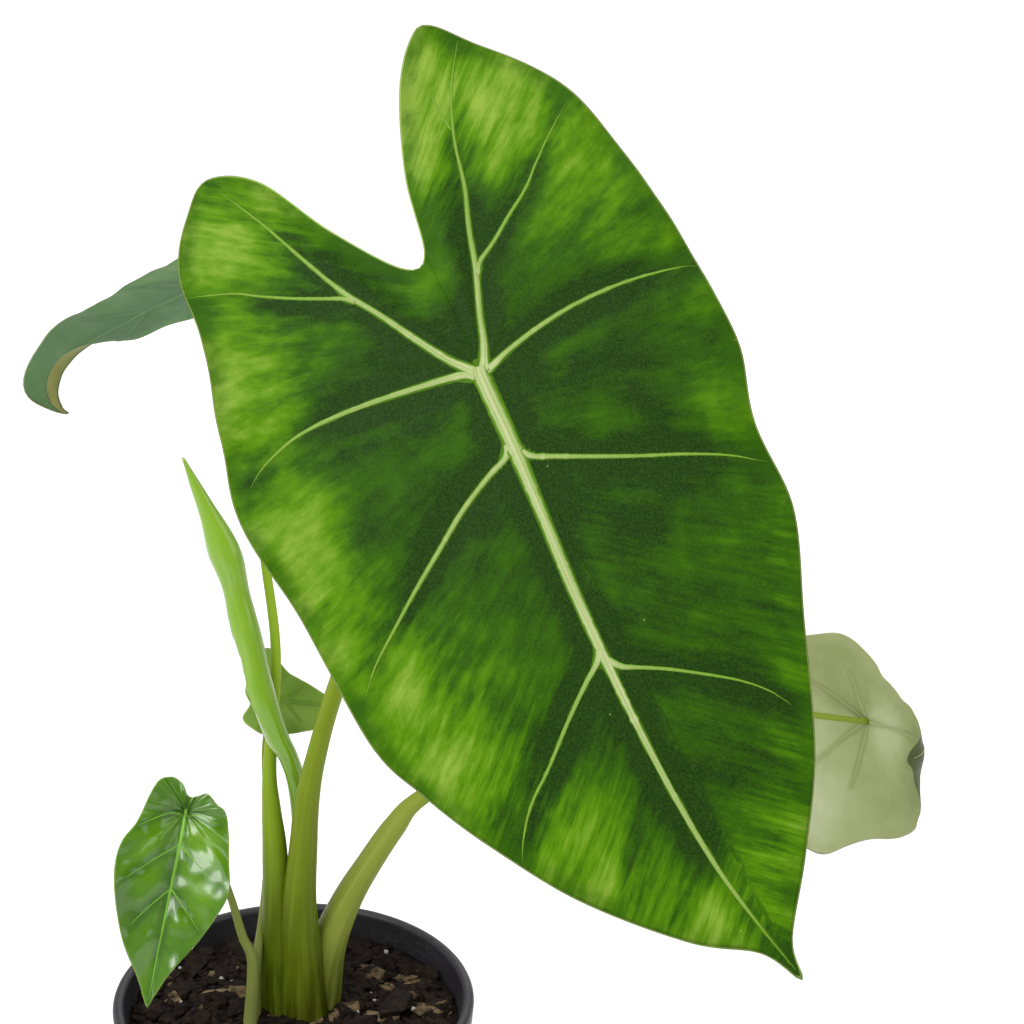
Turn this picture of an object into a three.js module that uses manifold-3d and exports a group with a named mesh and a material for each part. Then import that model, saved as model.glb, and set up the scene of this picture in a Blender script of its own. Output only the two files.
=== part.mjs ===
// Potted alocasia: a velvet-leaved arrowhead plant in a plain round nursery pot.
// Millimetres, +Z up. The origin is the centre of the pot's underside, and -Y is the front.
import * as THREE from "three";
import { mergeVertices } from "three/addons/utils/BufferGeometryUtils.js";
import Module from "manifold-3d";

const wasm = await Module();
wasm.setup();

// ---------------------------------------------------------------- driving sizes

const CLEARANCE = 0.3; // gap kept between two pieces that touch

const POT = {
  height: 130,
  rimRadius: 77.5,
  baseRadius: 55,
  wall: 1.8,
  floor: 2.4,
  lipWidth: 5, // the rolled rim, from its outside to the inner wall
  lipDepth: 10, // how far the rim's band reaches down the outside
  segments: 48,
};
const DRAIN = { count: 8, radius: 4.5, inset: 11 }; // round holes near the edge of the floor

const SOIL = { belowRim: 12, crownRise: 2, rings: 6 }; // the mix lies below the rim and rises to the stems

const BLADE_THICKNESS = 1.6;
const EDGE_POWER = 6; // the blade keeps its thickness until close to its edge
const TIP_FOLD_SPAN = [0.5, 0.92]; // shares of the midrib between which the fold near the tip grows

const STEM_SIDES = 8;
const STEM_STEP = 14; // length of stem between two sections

// The corm that the stems grow from, and the small one of the side shoot: places from the soil's middle.
const CORM = { centre: [1, 4, -22], radius: 20, height: 38, sides: 16 };
const PUP_CORM = { centre: [-17.5, -9.5, -20], radius: 7, height: 24, sides: 10 };
const CORM_RINGS = 8;

// Each leaf: the point where its stalk meets it, above the soil's middle; the direction in which its
// midrib leaves that point; the side that its upper face looks to; its midrib length; bends in degrees
// (bend: midrib to the tip, back: midrib to the lobes, curl: extra turn near the tip, fold: each half
// against the midrib, tipFold: extra fold near the tip); cup: rise in mm of a half at 50 mm from the
// midrib. The outline starts at the tip and is [across, along] in percent of the midrib length; grid:
// points round it and rings across it.
const LEAVES = {
  front_leaf: {
    colour: 0x2f6b1c,
    attach: [78, -130, 329], heading: [0.47, -0.507, -0.722], face: [-0.131, -0.85, 0.511],
    length: 217, bend: 14, back: 10, curl: 0, curlPower: 4, fold: -3, tipFold: 0, cup: -1.5, grid: [44, 12],
    outline: [
      [0, 100], [-3.5, 94], [-12, 88], [-23.5, 75.5], [-31.5, 62.5], [-37, 51.5], [-40.5, 41.5],
      [-41.5, 20.5], [-43.5, 1.5], [-40.5, -11.5], [-36.5, -27.5], [-35.5, -38], [-30.5, -46.5],
      [-25, -51], [-17.5, -45.5], [-11, -32], [-4, -21], [0, -21], [3, -34], [8.5, -47.5], [14, -55],
      [17.5, -56], [22.5, -50], [32, -35], [35.5, -12.5], [36, 3.5], [35.5, 14], [32, 25], [31, 39],
      [24.5, 54.5], [17, 72], [9, 84], [1.5, 94],
    ],
  },
  left_leaf: {
    colour: 0x4d6b4a, attach: [-36, 98, 304], heading: [-0.82, -0.48, -0.27], face: [-0.32, -0.2, 0.93],
    length: 104, bend: 8, back: 8, curl: 130, curlPower: 6, fold: 2, tipFold: 60, cup: 0, grid: [34, 14],
    outline: [
      [0, 100], [-5, 95], [-13, 89], [-15, 76], [-27, 53], [-36, 30], [-37, 5], [-33, -15], [-24, -32],
      [-15, -38], [-8, -30], [0, -16], [8, -30], [15, -38], [24, -32], [31, -15], [33, 5], [29, 28],
      [24, 50], [13, 70], [7, 85], [3, 95],
    ],
  },
  right_leaf: {
    colour: 0x8a9468, attach: [243.5, 38, 130.5], heading: [0.75, -0.64, 0.1], face: [0.64, 0.76, 0.03],
    length: 52.5, bend: 30, back: 10, curl: 95, curlPower: 3, fold: -4, tipFold: 0, cup: 0, grid: [32, 10],
    outline: [
      [0, 100], [-12, 88], [-22, 54], [-42, 22], [-64, 2], [-75, -22], [-66, -60], [-56, -92], [-36, -98],
      [-14, -76], [4, -50], [26, -84], [60, -104], [98, -100], [124, -64], [127, -40], [113, -16], [104, 2],
      [92, 36], [72, 62], [40, 82], [12, 94],
    ],
  },
  rear_leaf: {
    colour: 0x3d6a3a, attach: [-12, 33, 134.5], heading: [1, 0, -0.02], face: [0.05, -0.7, 0.71],
    length: 25, bend: 16, back: 10, curl: 0, curlPower: 4, fold: 6, tipFold: 0, cup: 0, grid: [26, 8],
    outline: [
      [-3, 100], [-43, 81], [-59, 34], [-63, -9], [-47, -38], [-31, -48], [-8, -38], [17, -48], [66, -40],
      [89, -26], [92, -9], [54, 22], [22, 86],
    ],
  },
  young_leaf: {
    colour: 0x3f8f14, attach: [-43, -11, 104], heading: [-0.11, -0.58, -0.8], face: [0.19, -0.8, 0.56],
    length: 80, bend: 11, back: 20, curl: 0, curlPower: 4, fold: 18, tipFold: 0, cup: -2, grid: [30, 8],
    outline: [
      [-1, 100], [-4, 96], [-10, 85], [-20, 70], [-27.5, 52.5], [-32, 35], [-31, 21], [-25, 10], [-21, -4],
      [-17.5, -12.5], [-11, -16], [-5, -14], [1, -7.5], [9, -10], [16, -5], [22.5, 1], [27.5, 22.5],
      [30, 37.5], [26, 50], [19, 64], [7.5, 81], [1.5, 94],
    ],
  },
};

// Each stem: [x, y, z, radius] from where it is rooted upwards, from the soil's middle. A stalk's last
// point is worked out from its leaf, and only its radius is given.
const STEMS = {
  front_petiole: {
    colour: 0x8ea048, leaf: "front_leaf", tipRadius: 3,
    path: [
      [4, 2, -12, 13], [3, 2, 22, 10], [2, 1, 54, 7.5], [4, 0, 82, 6], [6, -2, 106, 5.2], [10, -5, 127, 4.2],
      [18, -14, 159, 3.7], [38, -52, 227, 3.4], [66, -103, 300, 3.1],
    ],
  },
  left_petiole: {
    colour: 0x6f7f2c, leaf: "left_leaf", tipRadius: 1.7,
    path: [
      [-6, 5, -12, 10], [-8, 4.5, 22, 7.5], [-8, 4, 54, 6], [-8.5, 4, 80, 5.2], [-10, 7, 97, 4],
      [-11, 11, 114, 2.9], [-9.5, 19, 144, 2.4], [-10, 27, 168, 2.1], [-17, 43, 207, 1.9],
      [-28, 74, 268, 1.8],
    ],
  },
  right_petiole: {
    colour: 0x909f56, leaf: "right_leaf", tipRadius: 1.2,
    path: [
      [8, 8, -12, 11], [11, 9, 17, 9], [15, 10, 35, 7.6], [22, 13, 52, 6.4], [30, 16, 66, 5.6],
      [41, 22, 82, 5], [52, 28, 93, 3.6], [86, 34, 113, 2.8], [146, 38, 130, 2.2], [198, 37, 134.5, 1.6],
    ],
  },
  furled_leaf: {
    colour: 0x86b35a,
    path: [
      [3, 12, 72, 3.4], [1, 10, 104, 3.8], [-2.5, 8.5, 120, 4], [-7.5, 9, 130, 5], [-14, 12, 149, 5.6],
      [-19, 16, 170, 5.2], [-24, 20, 188, 4.8], [-29, 23, 206, 5.6], [-38, 27, 225, 3.2], [-47, 30, 244, 0.6],
    ],
  },
  young_petiole: {
    colour: 0x8a9a50, leaf: "young_leaf", tipRadius: 1.3,
    path: [
      [-18.5, -10, -12, 4], [-18, -9, 4, 3.2], [-17, -9, 22, 2.6], [-17.3, -9, 35, 2.2], [-21, -9, 45, 1.9],
      [-26, -8, 64, 1.6], [-34, -6, 86, 1.4],
    ],
  },
  rear_petiole: {
    colour: 0x8a9a50, leaf: "rear_leaf", tipRadius: 1.2,
    path: [
      [-16.5, -5, -12, 2.6], [-16.5, -4, 20, 2.2], [-15.5, -1, 34, 1.9], [-14.5, 6, 43, 1.8],
      [-14, 13, 52, 1.7], [-13.5, 20, 68, 1.6], [-14, 24, 92, 1.5], [-15, 29, 115, 1.3],
    ],
  },
};

// Roots that run over the mix and dive back into it: [x, y, height over the mix, radius].
const ROOTS = {
  surface_root_1: [[-22, 12, -4, 1.6], [-30, 15, 0.4, 1.6], [-40, 14, 0.6, 1.4], [-49, 18, -4, 1.1]],
  surface_root_2: [[-7, -18, -4, 1.5], [-16, -22, 0.4, 1.5], [-28, -20, 0.4, 1.3], [-37, -25, -4, 1.1]],
  surface_root_3: [[20, -13, -4, 1.7], [29, -20, 0.5, 1.6], [37, -30, 0.4, 1.3], [41, -40, -4, 1.1]],
};

// Loose pieces lying half sunk in the mix: [angle, place as a share of the soil's radius, turn] and size.
const BARK = {
  size: [10, 4.6, 3.2],
  places: [[52, 0.74, 35], [12, 0.62, 100], [338, 0.8, 20], [300, 0.62, 140], [250, 0.78, 75], [205, 0.72, 10],
    [168, 0.84, 120], [120, 0.66, 55], [88, 0.8, 160], [30, 0.88, 10]],
};
const PERLITE = {
  size: [3, 2.6, 2.2],
  places: [[352, 0.9, 0], [320, 0.46, 40], [276, 0.86, 80], [228, 0.5, 20], [182, 0.9, 60], [142, 0.56, 10],
    [104, 0.88, 50], [66, 0.5, 30]],
};

// ---------------------------------------------------------------- worked out from the sizes

const soilTop = POT.height - SOIL.belowRim;
const rad = THREE.MathUtils.degToRad;
const vector = (values) => new THREE.Vector3(...values);

// Radius of the pot's outer wall at a height, below the band of the rim.
function wallRadius(z) {
  const topRadius = POT.rimRadius - POT.lipWidth + POT.wall;
  return THREE.MathUtils.lerp(POT.baseRadius, topRadius, z / POT.height);
}

// The rounding of the rim's edges, and the radius of the pot's inner wall at a height.
const lipRound = POT.lipWidth * 0.3;
function innerRadius(z) {
  const share = (z - POT.floor) / (POT.height - lipRound - POT.floor);
  return THREE.MathUtils.lerp(POT.baseRadius - POT.wall, POT.rimRadius - POT.lipWidth, share);
}
const soilRadius = innerRadius(soilTop);

// Height of the mix's surface at a distance from the middle.
function soilHeight(distance) {
  const share = Math.min(distance / soilRadius, 1);
  return soilTop + SOIL.crownRise * (Math.cos(Math.PI * share) + 1) / 2;
}

// ---------------------------------------------------------------- solids

function toSolid(geometry) {
  const bare = geometry.index ? geometry.toNonIndexed() : geometry.clone();
  for (const name of Object.keys(bare.attributes)) {
    if (name !== "position") bare.deleteAttribute(name);
  }
  const merged = mergeVertices(bare, 1e-4);
  return new wasm.Manifold(new wasm.Mesh({
    numProp: 3,
    vertProperties: new Float32Array(merged.attributes.position.array),
    triVerts: new Uint32Array(merged.index.array),
  }));
}

function toGeometry(solid) {
  const mesh = solid.getMesh();
  const geometry = new THREE.BufferGeometry();
  geometry.setAttribute("position", new THREE.BufferAttribute(new Float32Array(mesh.vertProperties), 3));
  geometry.setIndex(new THREE.BufferAttribute(new Uint32Array(mesh.triVerts), 1));
  const flat = geometry.toNonIndexed();
  flat.computeVertexNormals();
  return flat;
}

// The body of a cut piece, without the crumbs that a cut can leave.
function mainBody(solid) {
  return solid.decompose().reduce((best, body) => (body.volume() > best.volume() ? body : best));
}

const cut = (solid, cutters) => mainBody(cutters.reduce((rest, cutter) => rest.subtract(cutter), solid));

// ---------------------------------------------------------------- leaves

// A leaf's own frame and the bent surface that its flat shape is laid on.
function leafSurface(leaf) {
  const heading = vector(leaf.heading).normalize();
  const raw = vector(leaf.face);
  const face = raw.addScaledVector(heading, -raw.dot(heading)).normalize();
  const side = new THREE.Vector3().crossVectors(face, heading);
  const attach = vector(leaf.attach).setZ(leaf.attach[2] + soilTop);
  const turn = (along) => {
    const share = along / leaf.length;
    if (share < 0) return rad(leaf.back) * share;
    return rad(leaf.bend) * share + rad(leaf.curl) * share ** leaf.curlPower;
  };
  const midrib = (along) => {
    const steps = 24;
    const step = along / steps;
    const point = attach.clone();
    for (let i = 0; i < steps; i++) {
      const angle = turn((i + 0.5) * step);
      point.addScaledVector(heading, Math.cos(angle) * step);
      point.addScaledVector(face, -Math.sin(angle) * step);
    }
    return point;
  };
  const place = (across, along, lift) => {
    const angle = turn(along);
    const normal = face.clone().multiplyScalar(Math.cos(angle)).addScaledVector(heading, Math.sin(angle));
    const tipShare = THREE.MathUtils.smoothstep(along / leaf.length, ...TIP_FOLD_SPAN);
    const fold = rad(leaf.fold + leaf.tipFold * tipShare);
    const rise = Math.abs(across) * Math.sin(fold) + leaf.cup * (across / 50) ** 2 + lift;
    return midrib(along).addScaledVector(side, across * Math.cos(fold)).addScaledVector(normal, rise);
  };
  return { place, face, attach };
}

// A blade: a sphere pressed to a thin plate in the leaf's outline, its poles at the stalk, then bent.
function leafSolid(leaf) {
  const points = leaf.outline.map(([x, y]) => new THREE.Vector3(x, y, 0).multiplyScalar(leaf.length / 100));
  const rim = new THREE.CatmullRomCurve3(points, true, "catmullrom", 0.5);
  rim.arcLengthDivisions = 800;
  const { place } = leafSurface(leaf);
  const plate = new THREE.SphereGeometry(1, ...leaf.grid);
  const position = plate.attributes.position;
  for (let i = 0; i < position.count; i++) {
    const [x, y, z] = [position.getX(i), position.getY(i), position.getZ(i)];
    const reach = 1 - Math.asin(Math.min(Math.abs(y), 1)) / (Math.PI / 2);
    const turnShare = (Math.atan2(z, x) / (2 * Math.PI) + 1) % 1;
    const edge = rim.getPointAt(turnShare);
    const lift = Math.sign(Math.round(y * 1e6)) * (BLADE_THICKNESS / 2) * (1 - reach ** EDGE_POWER);
    const at = place(edge.x * reach, edge.y * reach, lift);
    position.setXYZ(i, at.x, at.y, at.z);
  }
  const solid = toSolid(plate);
  return solid.volume() > 0 ? solid : toSolid(flipped(plate));
}

function flipped(geometry) {
  const index = geometry.index.array;
  for (let i = 0; i < index.length; i += 3) {
    [index[i], index[i + 1]] = [index[i + 1], index[i]];
  }
  return geometry;
}

// ---------------------------------------------------------------- stems

const smoothLine = (points) => new THREE.CatmullRomCurve3(points, false, "catmullrom", 0.5);

// A tapering tube through [x, y, z, radius] rows, made fatter by the margin all round and at its ends.
function tube(rows, margin = 0) {
  const path = smoothLine(rows.map(([x, y, z]) => new THREE.Vector3(x, y, z)));
  const radii = smoothLine(rows.map((row) => new THREE.Vector3(row[3], 0, 0)));
  const steps = Math.max(6, Math.round(path.getLength() / STEM_STEP));
  const section = new THREE.Shape();
  for (let i = 0; i < STEM_SIDES; i++) {
    const angle = (i / STEM_SIDES) * 2 * Math.PI;
    if (i === 0) section.moveTo(Math.cos(angle), Math.sin(angle));
    else section.lineTo(Math.cos(angle), Math.sin(angle));
  }
  const geometry = new THREE.ExtrudeGeometry(section, { steps, extrudePath: path, curveSegments: STEM_SIDES });
  const centres = path.getSpacedPoints(steps);
  const position = geometry.attributes.position;
  const point = new THREE.Vector3();
  for (let i = 0; i < position.count; i++) {
    point.fromBufferAttribute(position, i);
    const distances = centres.map((centre) => centre.distanceTo(point));
    const nearest = distances.indexOf(Math.min(...distances));
    const share = nearest / steps;
    const radius = Math.max(radii.getPoint(path.getUtoTmapping(share)).x, 0.3) + margin;
    point.sub(centres[nearest]).multiplyScalar(radius).add(centres[nearest]);
    if (nearest === 0) point.addScaledVector(path.getTangentAt(0), -margin);
    if (nearest === steps) point.addScaledVector(path.getTangentAt(1), margin);
    position.setXYZ(i, point.x, point.y, point.z);
  }
  return toSolid(geometry);
}

// A stem's rows at their real height, ending just under its leaf if it carries one.
function stemRows(stem) {
  const rows = stem.path.map(([x, y, z, radius]) => [x, y, z + soilTop, radius]);
  if (stem.leaf) {
    const { face, attach } = leafSurface(LEAVES[stem.leaf]);
    const gap = BLADE_THICKNESS / 2 + CLEARANCE + stem.tipRadius * 0.6;
    const end = attach.clone().addScaledVector(face, -gap);
    rows.push([end.x, end.y, end.z, stem.tipRadius]);
  }
  return rows;
}

// ---------------------------------------------------------------- corms, roots, loose pieces

// A corm is an upright egg shape, turned about its axis.
function cormSolid(corm, margin = 0) {
  const profile = [];
  for (let i = 0; i <= CORM_RINGS; i++) {
    const angle = (i / CORM_RINGS - 0.5) * Math.PI;
    const radius = (corm.radius + margin) * Math.cos(angle) ** 0.8;
    profile.push(new THREE.Vector2(radius, (corm.height / 2 + margin) * Math.sin(angle)));
  }
  profile[0].x = 0;
  profile[CORM_RINGS].x = 0;
  const geometry = new THREE.LatheGeometry(profile, corm.sides);
  geometry.rotateX(Math.PI / 2);
  geometry.translate(corm.centre[0], corm.centre[1], corm.centre[2] + soilTop);
  const solid = toSolid(geometry);
  return solid.volume() > 0 ? solid : toSolid(flipped(geometry));
}

function rootSolid(rows, margin = 0) {
  return tube(rows.map(([x, y, z, radius]) => [x, y, soilHeight(Math.hypot(x, y)) + z, radius]), margin);
}

// A crumb with flat faces, turned about the upright and laid half sunk in the mix.
function crumbSolid(Shape, size, [angle, share, turn], margin = 0) {
  const distance = share * (soilRadius - Math.max(...size) / 2);
  const geometry = new Shape(1, 0);
  geometry.scale(size[0] / 2 + margin, size[1] / 2 + margin, size[2] / 2 + margin);
  geometry.rotateZ(rad(turn));
  geometry.translate(distance * Math.cos(rad(angle)), distance * Math.sin(rad(angle)), soilHeight(distance));
  return toSolid(geometry);
}

// ---------------------------------------------------------------- pot and mix

function lathe(profile) {
  const geometry = new THREE.LatheGeometry(profile.map(([r, z]) => new THREE.Vector2(r, z)), POT.segments);
  geometry.rotateX(Math.PI / 2);
  const solid = toSolid(geometry);
  return solid.volume() > 0 ? solid : toSolid(flipped(geometry));
}

function potSolid() {
  const bandFoot = POT.height - POT.lipDepth;
  const outside = POT.rimRadius;
  const inside = POT.rimRadius - POT.lipWidth;
  const shell = lathe([
    [0, 0], [POT.baseRadius - lipRound, 0], [POT.baseRadius, lipRound], [wallRadius(bandFoot), bandFoot],
    [outside, bandFoot + lipRound], [outside, POT.height - lipRound], [outside - lipRound, POT.height],
    [inside + lipRound, POT.height], [inside, POT.height - lipRound], [innerRadius(POT.floor), POT.floor],
    [0, POT.floor],
  ]);
  const holes = [];
  const reach = POT.baseRadius - DRAIN.inset;
  for (let i = 0; i < DRAIN.count; i++) {
    const angle = (i / DRAIN.count) * 2 * Math.PI;
    const hole = new THREE.CylinderGeometry(DRAIN.radius, DRAIN.radius, 3 * POT.floor, 14);
    hole.rotateX(Math.PI / 2);
    hole.translate(reach * Math.cos(angle), reach * Math.sin(angle), 0);
    holes.push(toSolid(hole));
  }
  return cut(shell, holes);
}

// The potting mix fills the pot to its surface, and everything that stands or lies in it is cut out.
function soilSolid(cutters) {
  const foot = POT.floor + CLEARANCE;
  const fit = (z) => innerRadius(z) - CLEARANCE;
  const profile = [[0, foot], [fit(foot), foot], [fit(soilTop), soilTop]];
  for (let i = SOIL.rings - 1; i >= 0; i--) {
    const distance = fit(soilTop) * (i / SOIL.rings);
    profile.push([distance, soilHeight(distance)]);
  }
  return cut(lathe(profile), cutters);
}

// ---------------------------------------------------------------- assembly

const alocasia = new THREE.Group();

function addPiece(name, solid, colour, roughness = 0.7, metalness = 0) {
  const material = new THREE.MeshStandardMaterial({ color: colour, roughness, metalness });
  const mesh = new THREE.Mesh(toGeometry(solid), material);
  mesh.name = name;
  alocasia.add(mesh);
}

// Stems are cut in this order: a later one wraps round the earlier ones at the base.
const stemNames = Object.keys(STEMS);
const stemSolids = {};
stemNames.forEach((name, i) => {
  const earlier = stemNames.slice(0, i).map((other) => tube(stemRows(STEMS[other]), CLEARANCE));
  stemSolids[name] = cut(tube(stemRows(STEMS[name])), earlier);
});
const stemCutters = stemNames.map((name) => tube(stemRows(STEMS[name]), CLEARANCE));

addPiece("nursery_pot", potSolid(), 0x3b3b3f, 0.55);

const soilCutters = [cormSolid(CORM, CLEARANCE), cormSolid(PUP_CORM, CLEARANCE), ...stemCutters];
const buried = [];
for (const [name, rows] of Object.entries(ROOTS)) {
  buried.push([name, rootSolid(rows), 0xb9a58f]);
  soilCutters.push(rootSolid(rows, CLEARANCE));
}
BARK.places.forEach((place, i) => {
  buried.push([`bark_chip_${i + 1}`, crumbSolid(THREE.DodecahedronGeometry, BARK.size, place), 0x7c6a4f]);
  soilCutters.push(crumbSolid(THREE.DodecahedronGeometry, BARK.size, place, CLEARANCE));
});
PERLITE.places.forEach((place, i) => {
  buried.push([`perlite_grain_${i + 1}`, crumbSolid(THREE.IcosahedronGeometry, PERLITE.size, place), 0xd8d6cf]);
  soilCutters.push(crumbSolid(THREE.IcosahedronGeometry, PERLITE.size, place, CLEARANCE));
});
addPiece("potting_mix", soilSolid(soilCutters), 0x241a15, 0.95);
addPiece("corm", cut(cormSolid(CORM), stemCutters), 0x6a5236, 0.85);
addPiece("pup_corm", cut(cormSolid(PUP_CORM), [cormSolid(CORM, CLEARANCE), ...stemCutters]), 0x6a5236, 0.85);
for (const [name, solid, colour] of buried) {
  addPiece(name, solid, colour, 0.9);
}
for (const name of stemNames) {
  addPiece(name, stemSolids[name], STEMS[name].colour, 0.45);
}
for (const [name, leaf] of Object.entries(LEAVES)) {
  addPiece(name, leafSolid(leaf), leaf.colour, 0.6);
}

export default alocasia;
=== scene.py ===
"""Potted alocasia: the finished looks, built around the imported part.

A velvet-leaved arrowhead plant stands in a plain round nursery pot. Sizes in the classes are in
millimetres, and heights of the plant count from the middle of the mix's surface. A mesh is brought to
metres when it is made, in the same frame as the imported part: +Z is up, and -Y is the front.
"""

import logging
import math
from dataclasses import dataclass
from enum import Enum
from typing import Callable, Sequence

import bmesh
import bpy
import numpy as np
from mathutils import Matrix, Vector, noise


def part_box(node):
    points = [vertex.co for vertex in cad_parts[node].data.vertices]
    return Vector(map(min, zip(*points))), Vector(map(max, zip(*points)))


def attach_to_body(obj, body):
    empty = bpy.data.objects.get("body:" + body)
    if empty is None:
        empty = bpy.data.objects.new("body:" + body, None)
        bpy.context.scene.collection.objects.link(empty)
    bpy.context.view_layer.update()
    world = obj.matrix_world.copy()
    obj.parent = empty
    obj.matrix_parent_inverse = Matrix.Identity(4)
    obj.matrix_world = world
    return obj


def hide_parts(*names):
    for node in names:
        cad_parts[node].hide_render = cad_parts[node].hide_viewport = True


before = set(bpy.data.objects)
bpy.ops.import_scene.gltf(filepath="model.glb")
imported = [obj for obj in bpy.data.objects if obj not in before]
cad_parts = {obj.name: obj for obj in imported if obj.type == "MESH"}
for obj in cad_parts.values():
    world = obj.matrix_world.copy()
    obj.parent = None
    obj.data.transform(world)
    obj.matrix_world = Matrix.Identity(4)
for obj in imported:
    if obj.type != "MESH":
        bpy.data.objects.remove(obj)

log = logging.getLogger("alocasia")

Array = np.ndarray
Colour = tuple[float, float, float, float]
Row = tuple[float, ...]
Socket = bpy.types.NodeSocket

MM = 0.001
BODY = "root"
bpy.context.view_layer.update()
SOIL_BELOW_RIM = 12.0
SOIL_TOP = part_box("nursery_pot")[1].z / MM - SOIL_BELOW_RIM
SOIL_CROWN = 2.0
BLADE_THICKNESS = 0.8
# How much brighter the studio shows a surface than its painted colour.
STUDIO_GAIN = 1.3
# The higher the power, the nearer to its edge a blade keeps its thickness.
EDGE_POWER = 6
# The shares of the midrib between which a tip's extra fold grows.
TIP_FOLD_SPAN = (0.5, 0.92)
# The midrib's length in the leaf that the blade's patterns are made for.
PATTERN_LENGTH = 217
# The streaks' slope in degrees, and the distance from the stalk over which it turns from back to ahead.
STREAK_SLOPE = 46
STREAK_SPAN = 40
# How many of a stalk's last rings turn to lie flat under its leaf.
MEETING_RINGS = 5
# The height over the mix at which a stalk has its crown colour.
CROWN_HEIGHT = 160
# Shares of peat, bark and perlite among the loose crumbs.
CRUMB_SHARES = (0.89, 0.08, 0.03)
FACES_PER_CRUMB = 20
# A distance beyond any in the plant.
FAR = 1e9


# ---------------------------------------------------------------- curves and numbers


def paint(red: float, green: float, blue: float) -> Colour:
    """Gives the linear colour to paint with, so that the lit piece shows three given 0 to 255 values."""
    shares = [value / 255 for value in (red, green, blue)]
    linear = [s / 12.92 if s <= 0.04045 else ((s + 0.055) / 1.055) ** 2.4 for s in shares]
    return (linear[0] / STUDIO_GAIN, linear[1] / STUDIO_GAIN, linear[2] / STUDIO_GAIN, 1.0)


def unit(values: Sequence[float]) -> Array:
    """Gives a direction of length one."""
    return np.asarray(values, float) / np.linalg.norm(values)


def smooth_step(low: float, high: float, values: Array) -> Array:
    """Rises smoothly from 0 to 1 as the values go from low to high."""
    share = np.clip((values - low) / (high - low), 0, 1)
    return share * share * (3 - 2 * share)


def spline(rows: Array, at: Array, closed: bool = False) -> Array:
    """Points of an even Catmull-Rom curve.

    Args:
        rows: the points that the curve goes through.
        at: places on the curve, counted in rows from its start.
        closed: whether the curve returns to its first row.

    Returns:
        One row for each place.
    """
    count = len(rows)
    start = np.floor(at).astype(int)
    if closed:
        picked = [rows[(start + step) % count] for step in (-1, 0, 1, 2)]
    else:
        start = np.clip(start, 0, count - 2)
        padded = np.vstack([2 * rows[0] - rows[1], rows, 2 * rows[-1] - rows[-2]])
        picked = [padded[start + step] for step in range(4)]
    share = (at - start)[:, None]
    before, first, second, after = picked
    cubic = 3 * (first - second) + after - before
    square = 2 * before - 5 * first + 4 * second - after
    return first + 0.5 * share * ((second - before) + share * (square + share * cubic))


def even_spline(rows: Array, shares: Array, closed: bool = False, measured: int = 3) -> Array:
    """Points of a Catmull-Rom curve at shares of its length.

    Args:
        rows: the points that the curve goes through.
        shares: places from 0 at the start to 1 at the end.
        closed: whether the curve returns to its first row.
        measured: how many of the columns are a place, which the length is measured in.

    Returns:
        One row for each share.
    """
    last = len(rows) if closed else len(rows) - 1
    fine = np.linspace(0, last, 60 * last + 1)
    points = spline(rows, fine, closed)[:, :measured]
    steps = np.linalg.norm(np.diff(points, axis=0), axis=1)
    lengths = np.concatenate([[0], np.cumsum(steps)])
    return spline(rows, np.interp(shares * lengths[-1], lengths, fine), closed)


def distance_to_line(points: Array, line: Array, half_widths: Array | None = None) -> Array:
    """Shortest distance from flat points to a line of straight pieces.

    Args:
        points: the flat points.
        line: the ends of the line's pieces.
        half_widths: half the line's width at each of those ends, if it has one.

    Returns:
        One distance for each point, which is below 0 inside a wide line.
    """
    halves = np.zeros(len(line)) if half_widths is None else half_widths
    nearest = np.full(len(points), FAR)
    for start, end, low, high in zip(line[:-1], line[1:], halves[:-1], halves[1:]):
        along = end - start
        share = np.clip((points - start) @ along / max(along @ along, 1e-12), 0, 1)
        gap = points - start - share[:, None] * along
        nearest = np.minimum(nearest, np.hypot(gap[:, 0], gap[:, 1]) - low - (high - low) * share)
    return nearest


def lies_inside(points: Array, edge: Array) -> Array:
    """Says for each flat point whether it lies inside a closed edge."""
    crossed = np.zeros(len(points), bool)
    for start, end in zip(edge[:-1], edge[1:]):
        spans = (start[1] > points[:, 1]) != (end[1] > points[:, 1])
        slope = (end[0] - start[0]) / (end[1] - start[1] + 1e-12)
        crossed ^= spans & (points[:, 0] < start[0] + slope * (points[:, 1] - start[1]))
    return crossed


def rough(places: Array, size: float, octaves: int = 3, seed: float = 0.0) -> Array:
    """Smooth random values about zero.

    Args:
        places: one row for each value, in millimetres.
        size: how far apart the largest bumps lie, in millimetres.
        octaves: how many finer layers are added.
        seed: shifts the pattern.

    Returns:
        One value between about -1 and 1 for each place.
    """
    cells = np.asarray(places, float) / size + seed
    if cells.shape[1] == 2:
        cells = np.column_stack([cells, np.full(len(cells), seed)])
    return np.array([noise.fractal(Vector(cell), 1.0, 2.0, octaves) for cell in cells])


def soil_height(distance: Array, radius: float) -> Array:
    """Height of the mix's surface above the pot's foot, at a distance from the middle."""
    share = np.minimum(distance / radius, 1)
    return SOIL_TOP + SOIL_CROWN * (np.cos(np.pi * share) + 1) / 2


# ---------------------------------------------------------------- meshes


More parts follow.
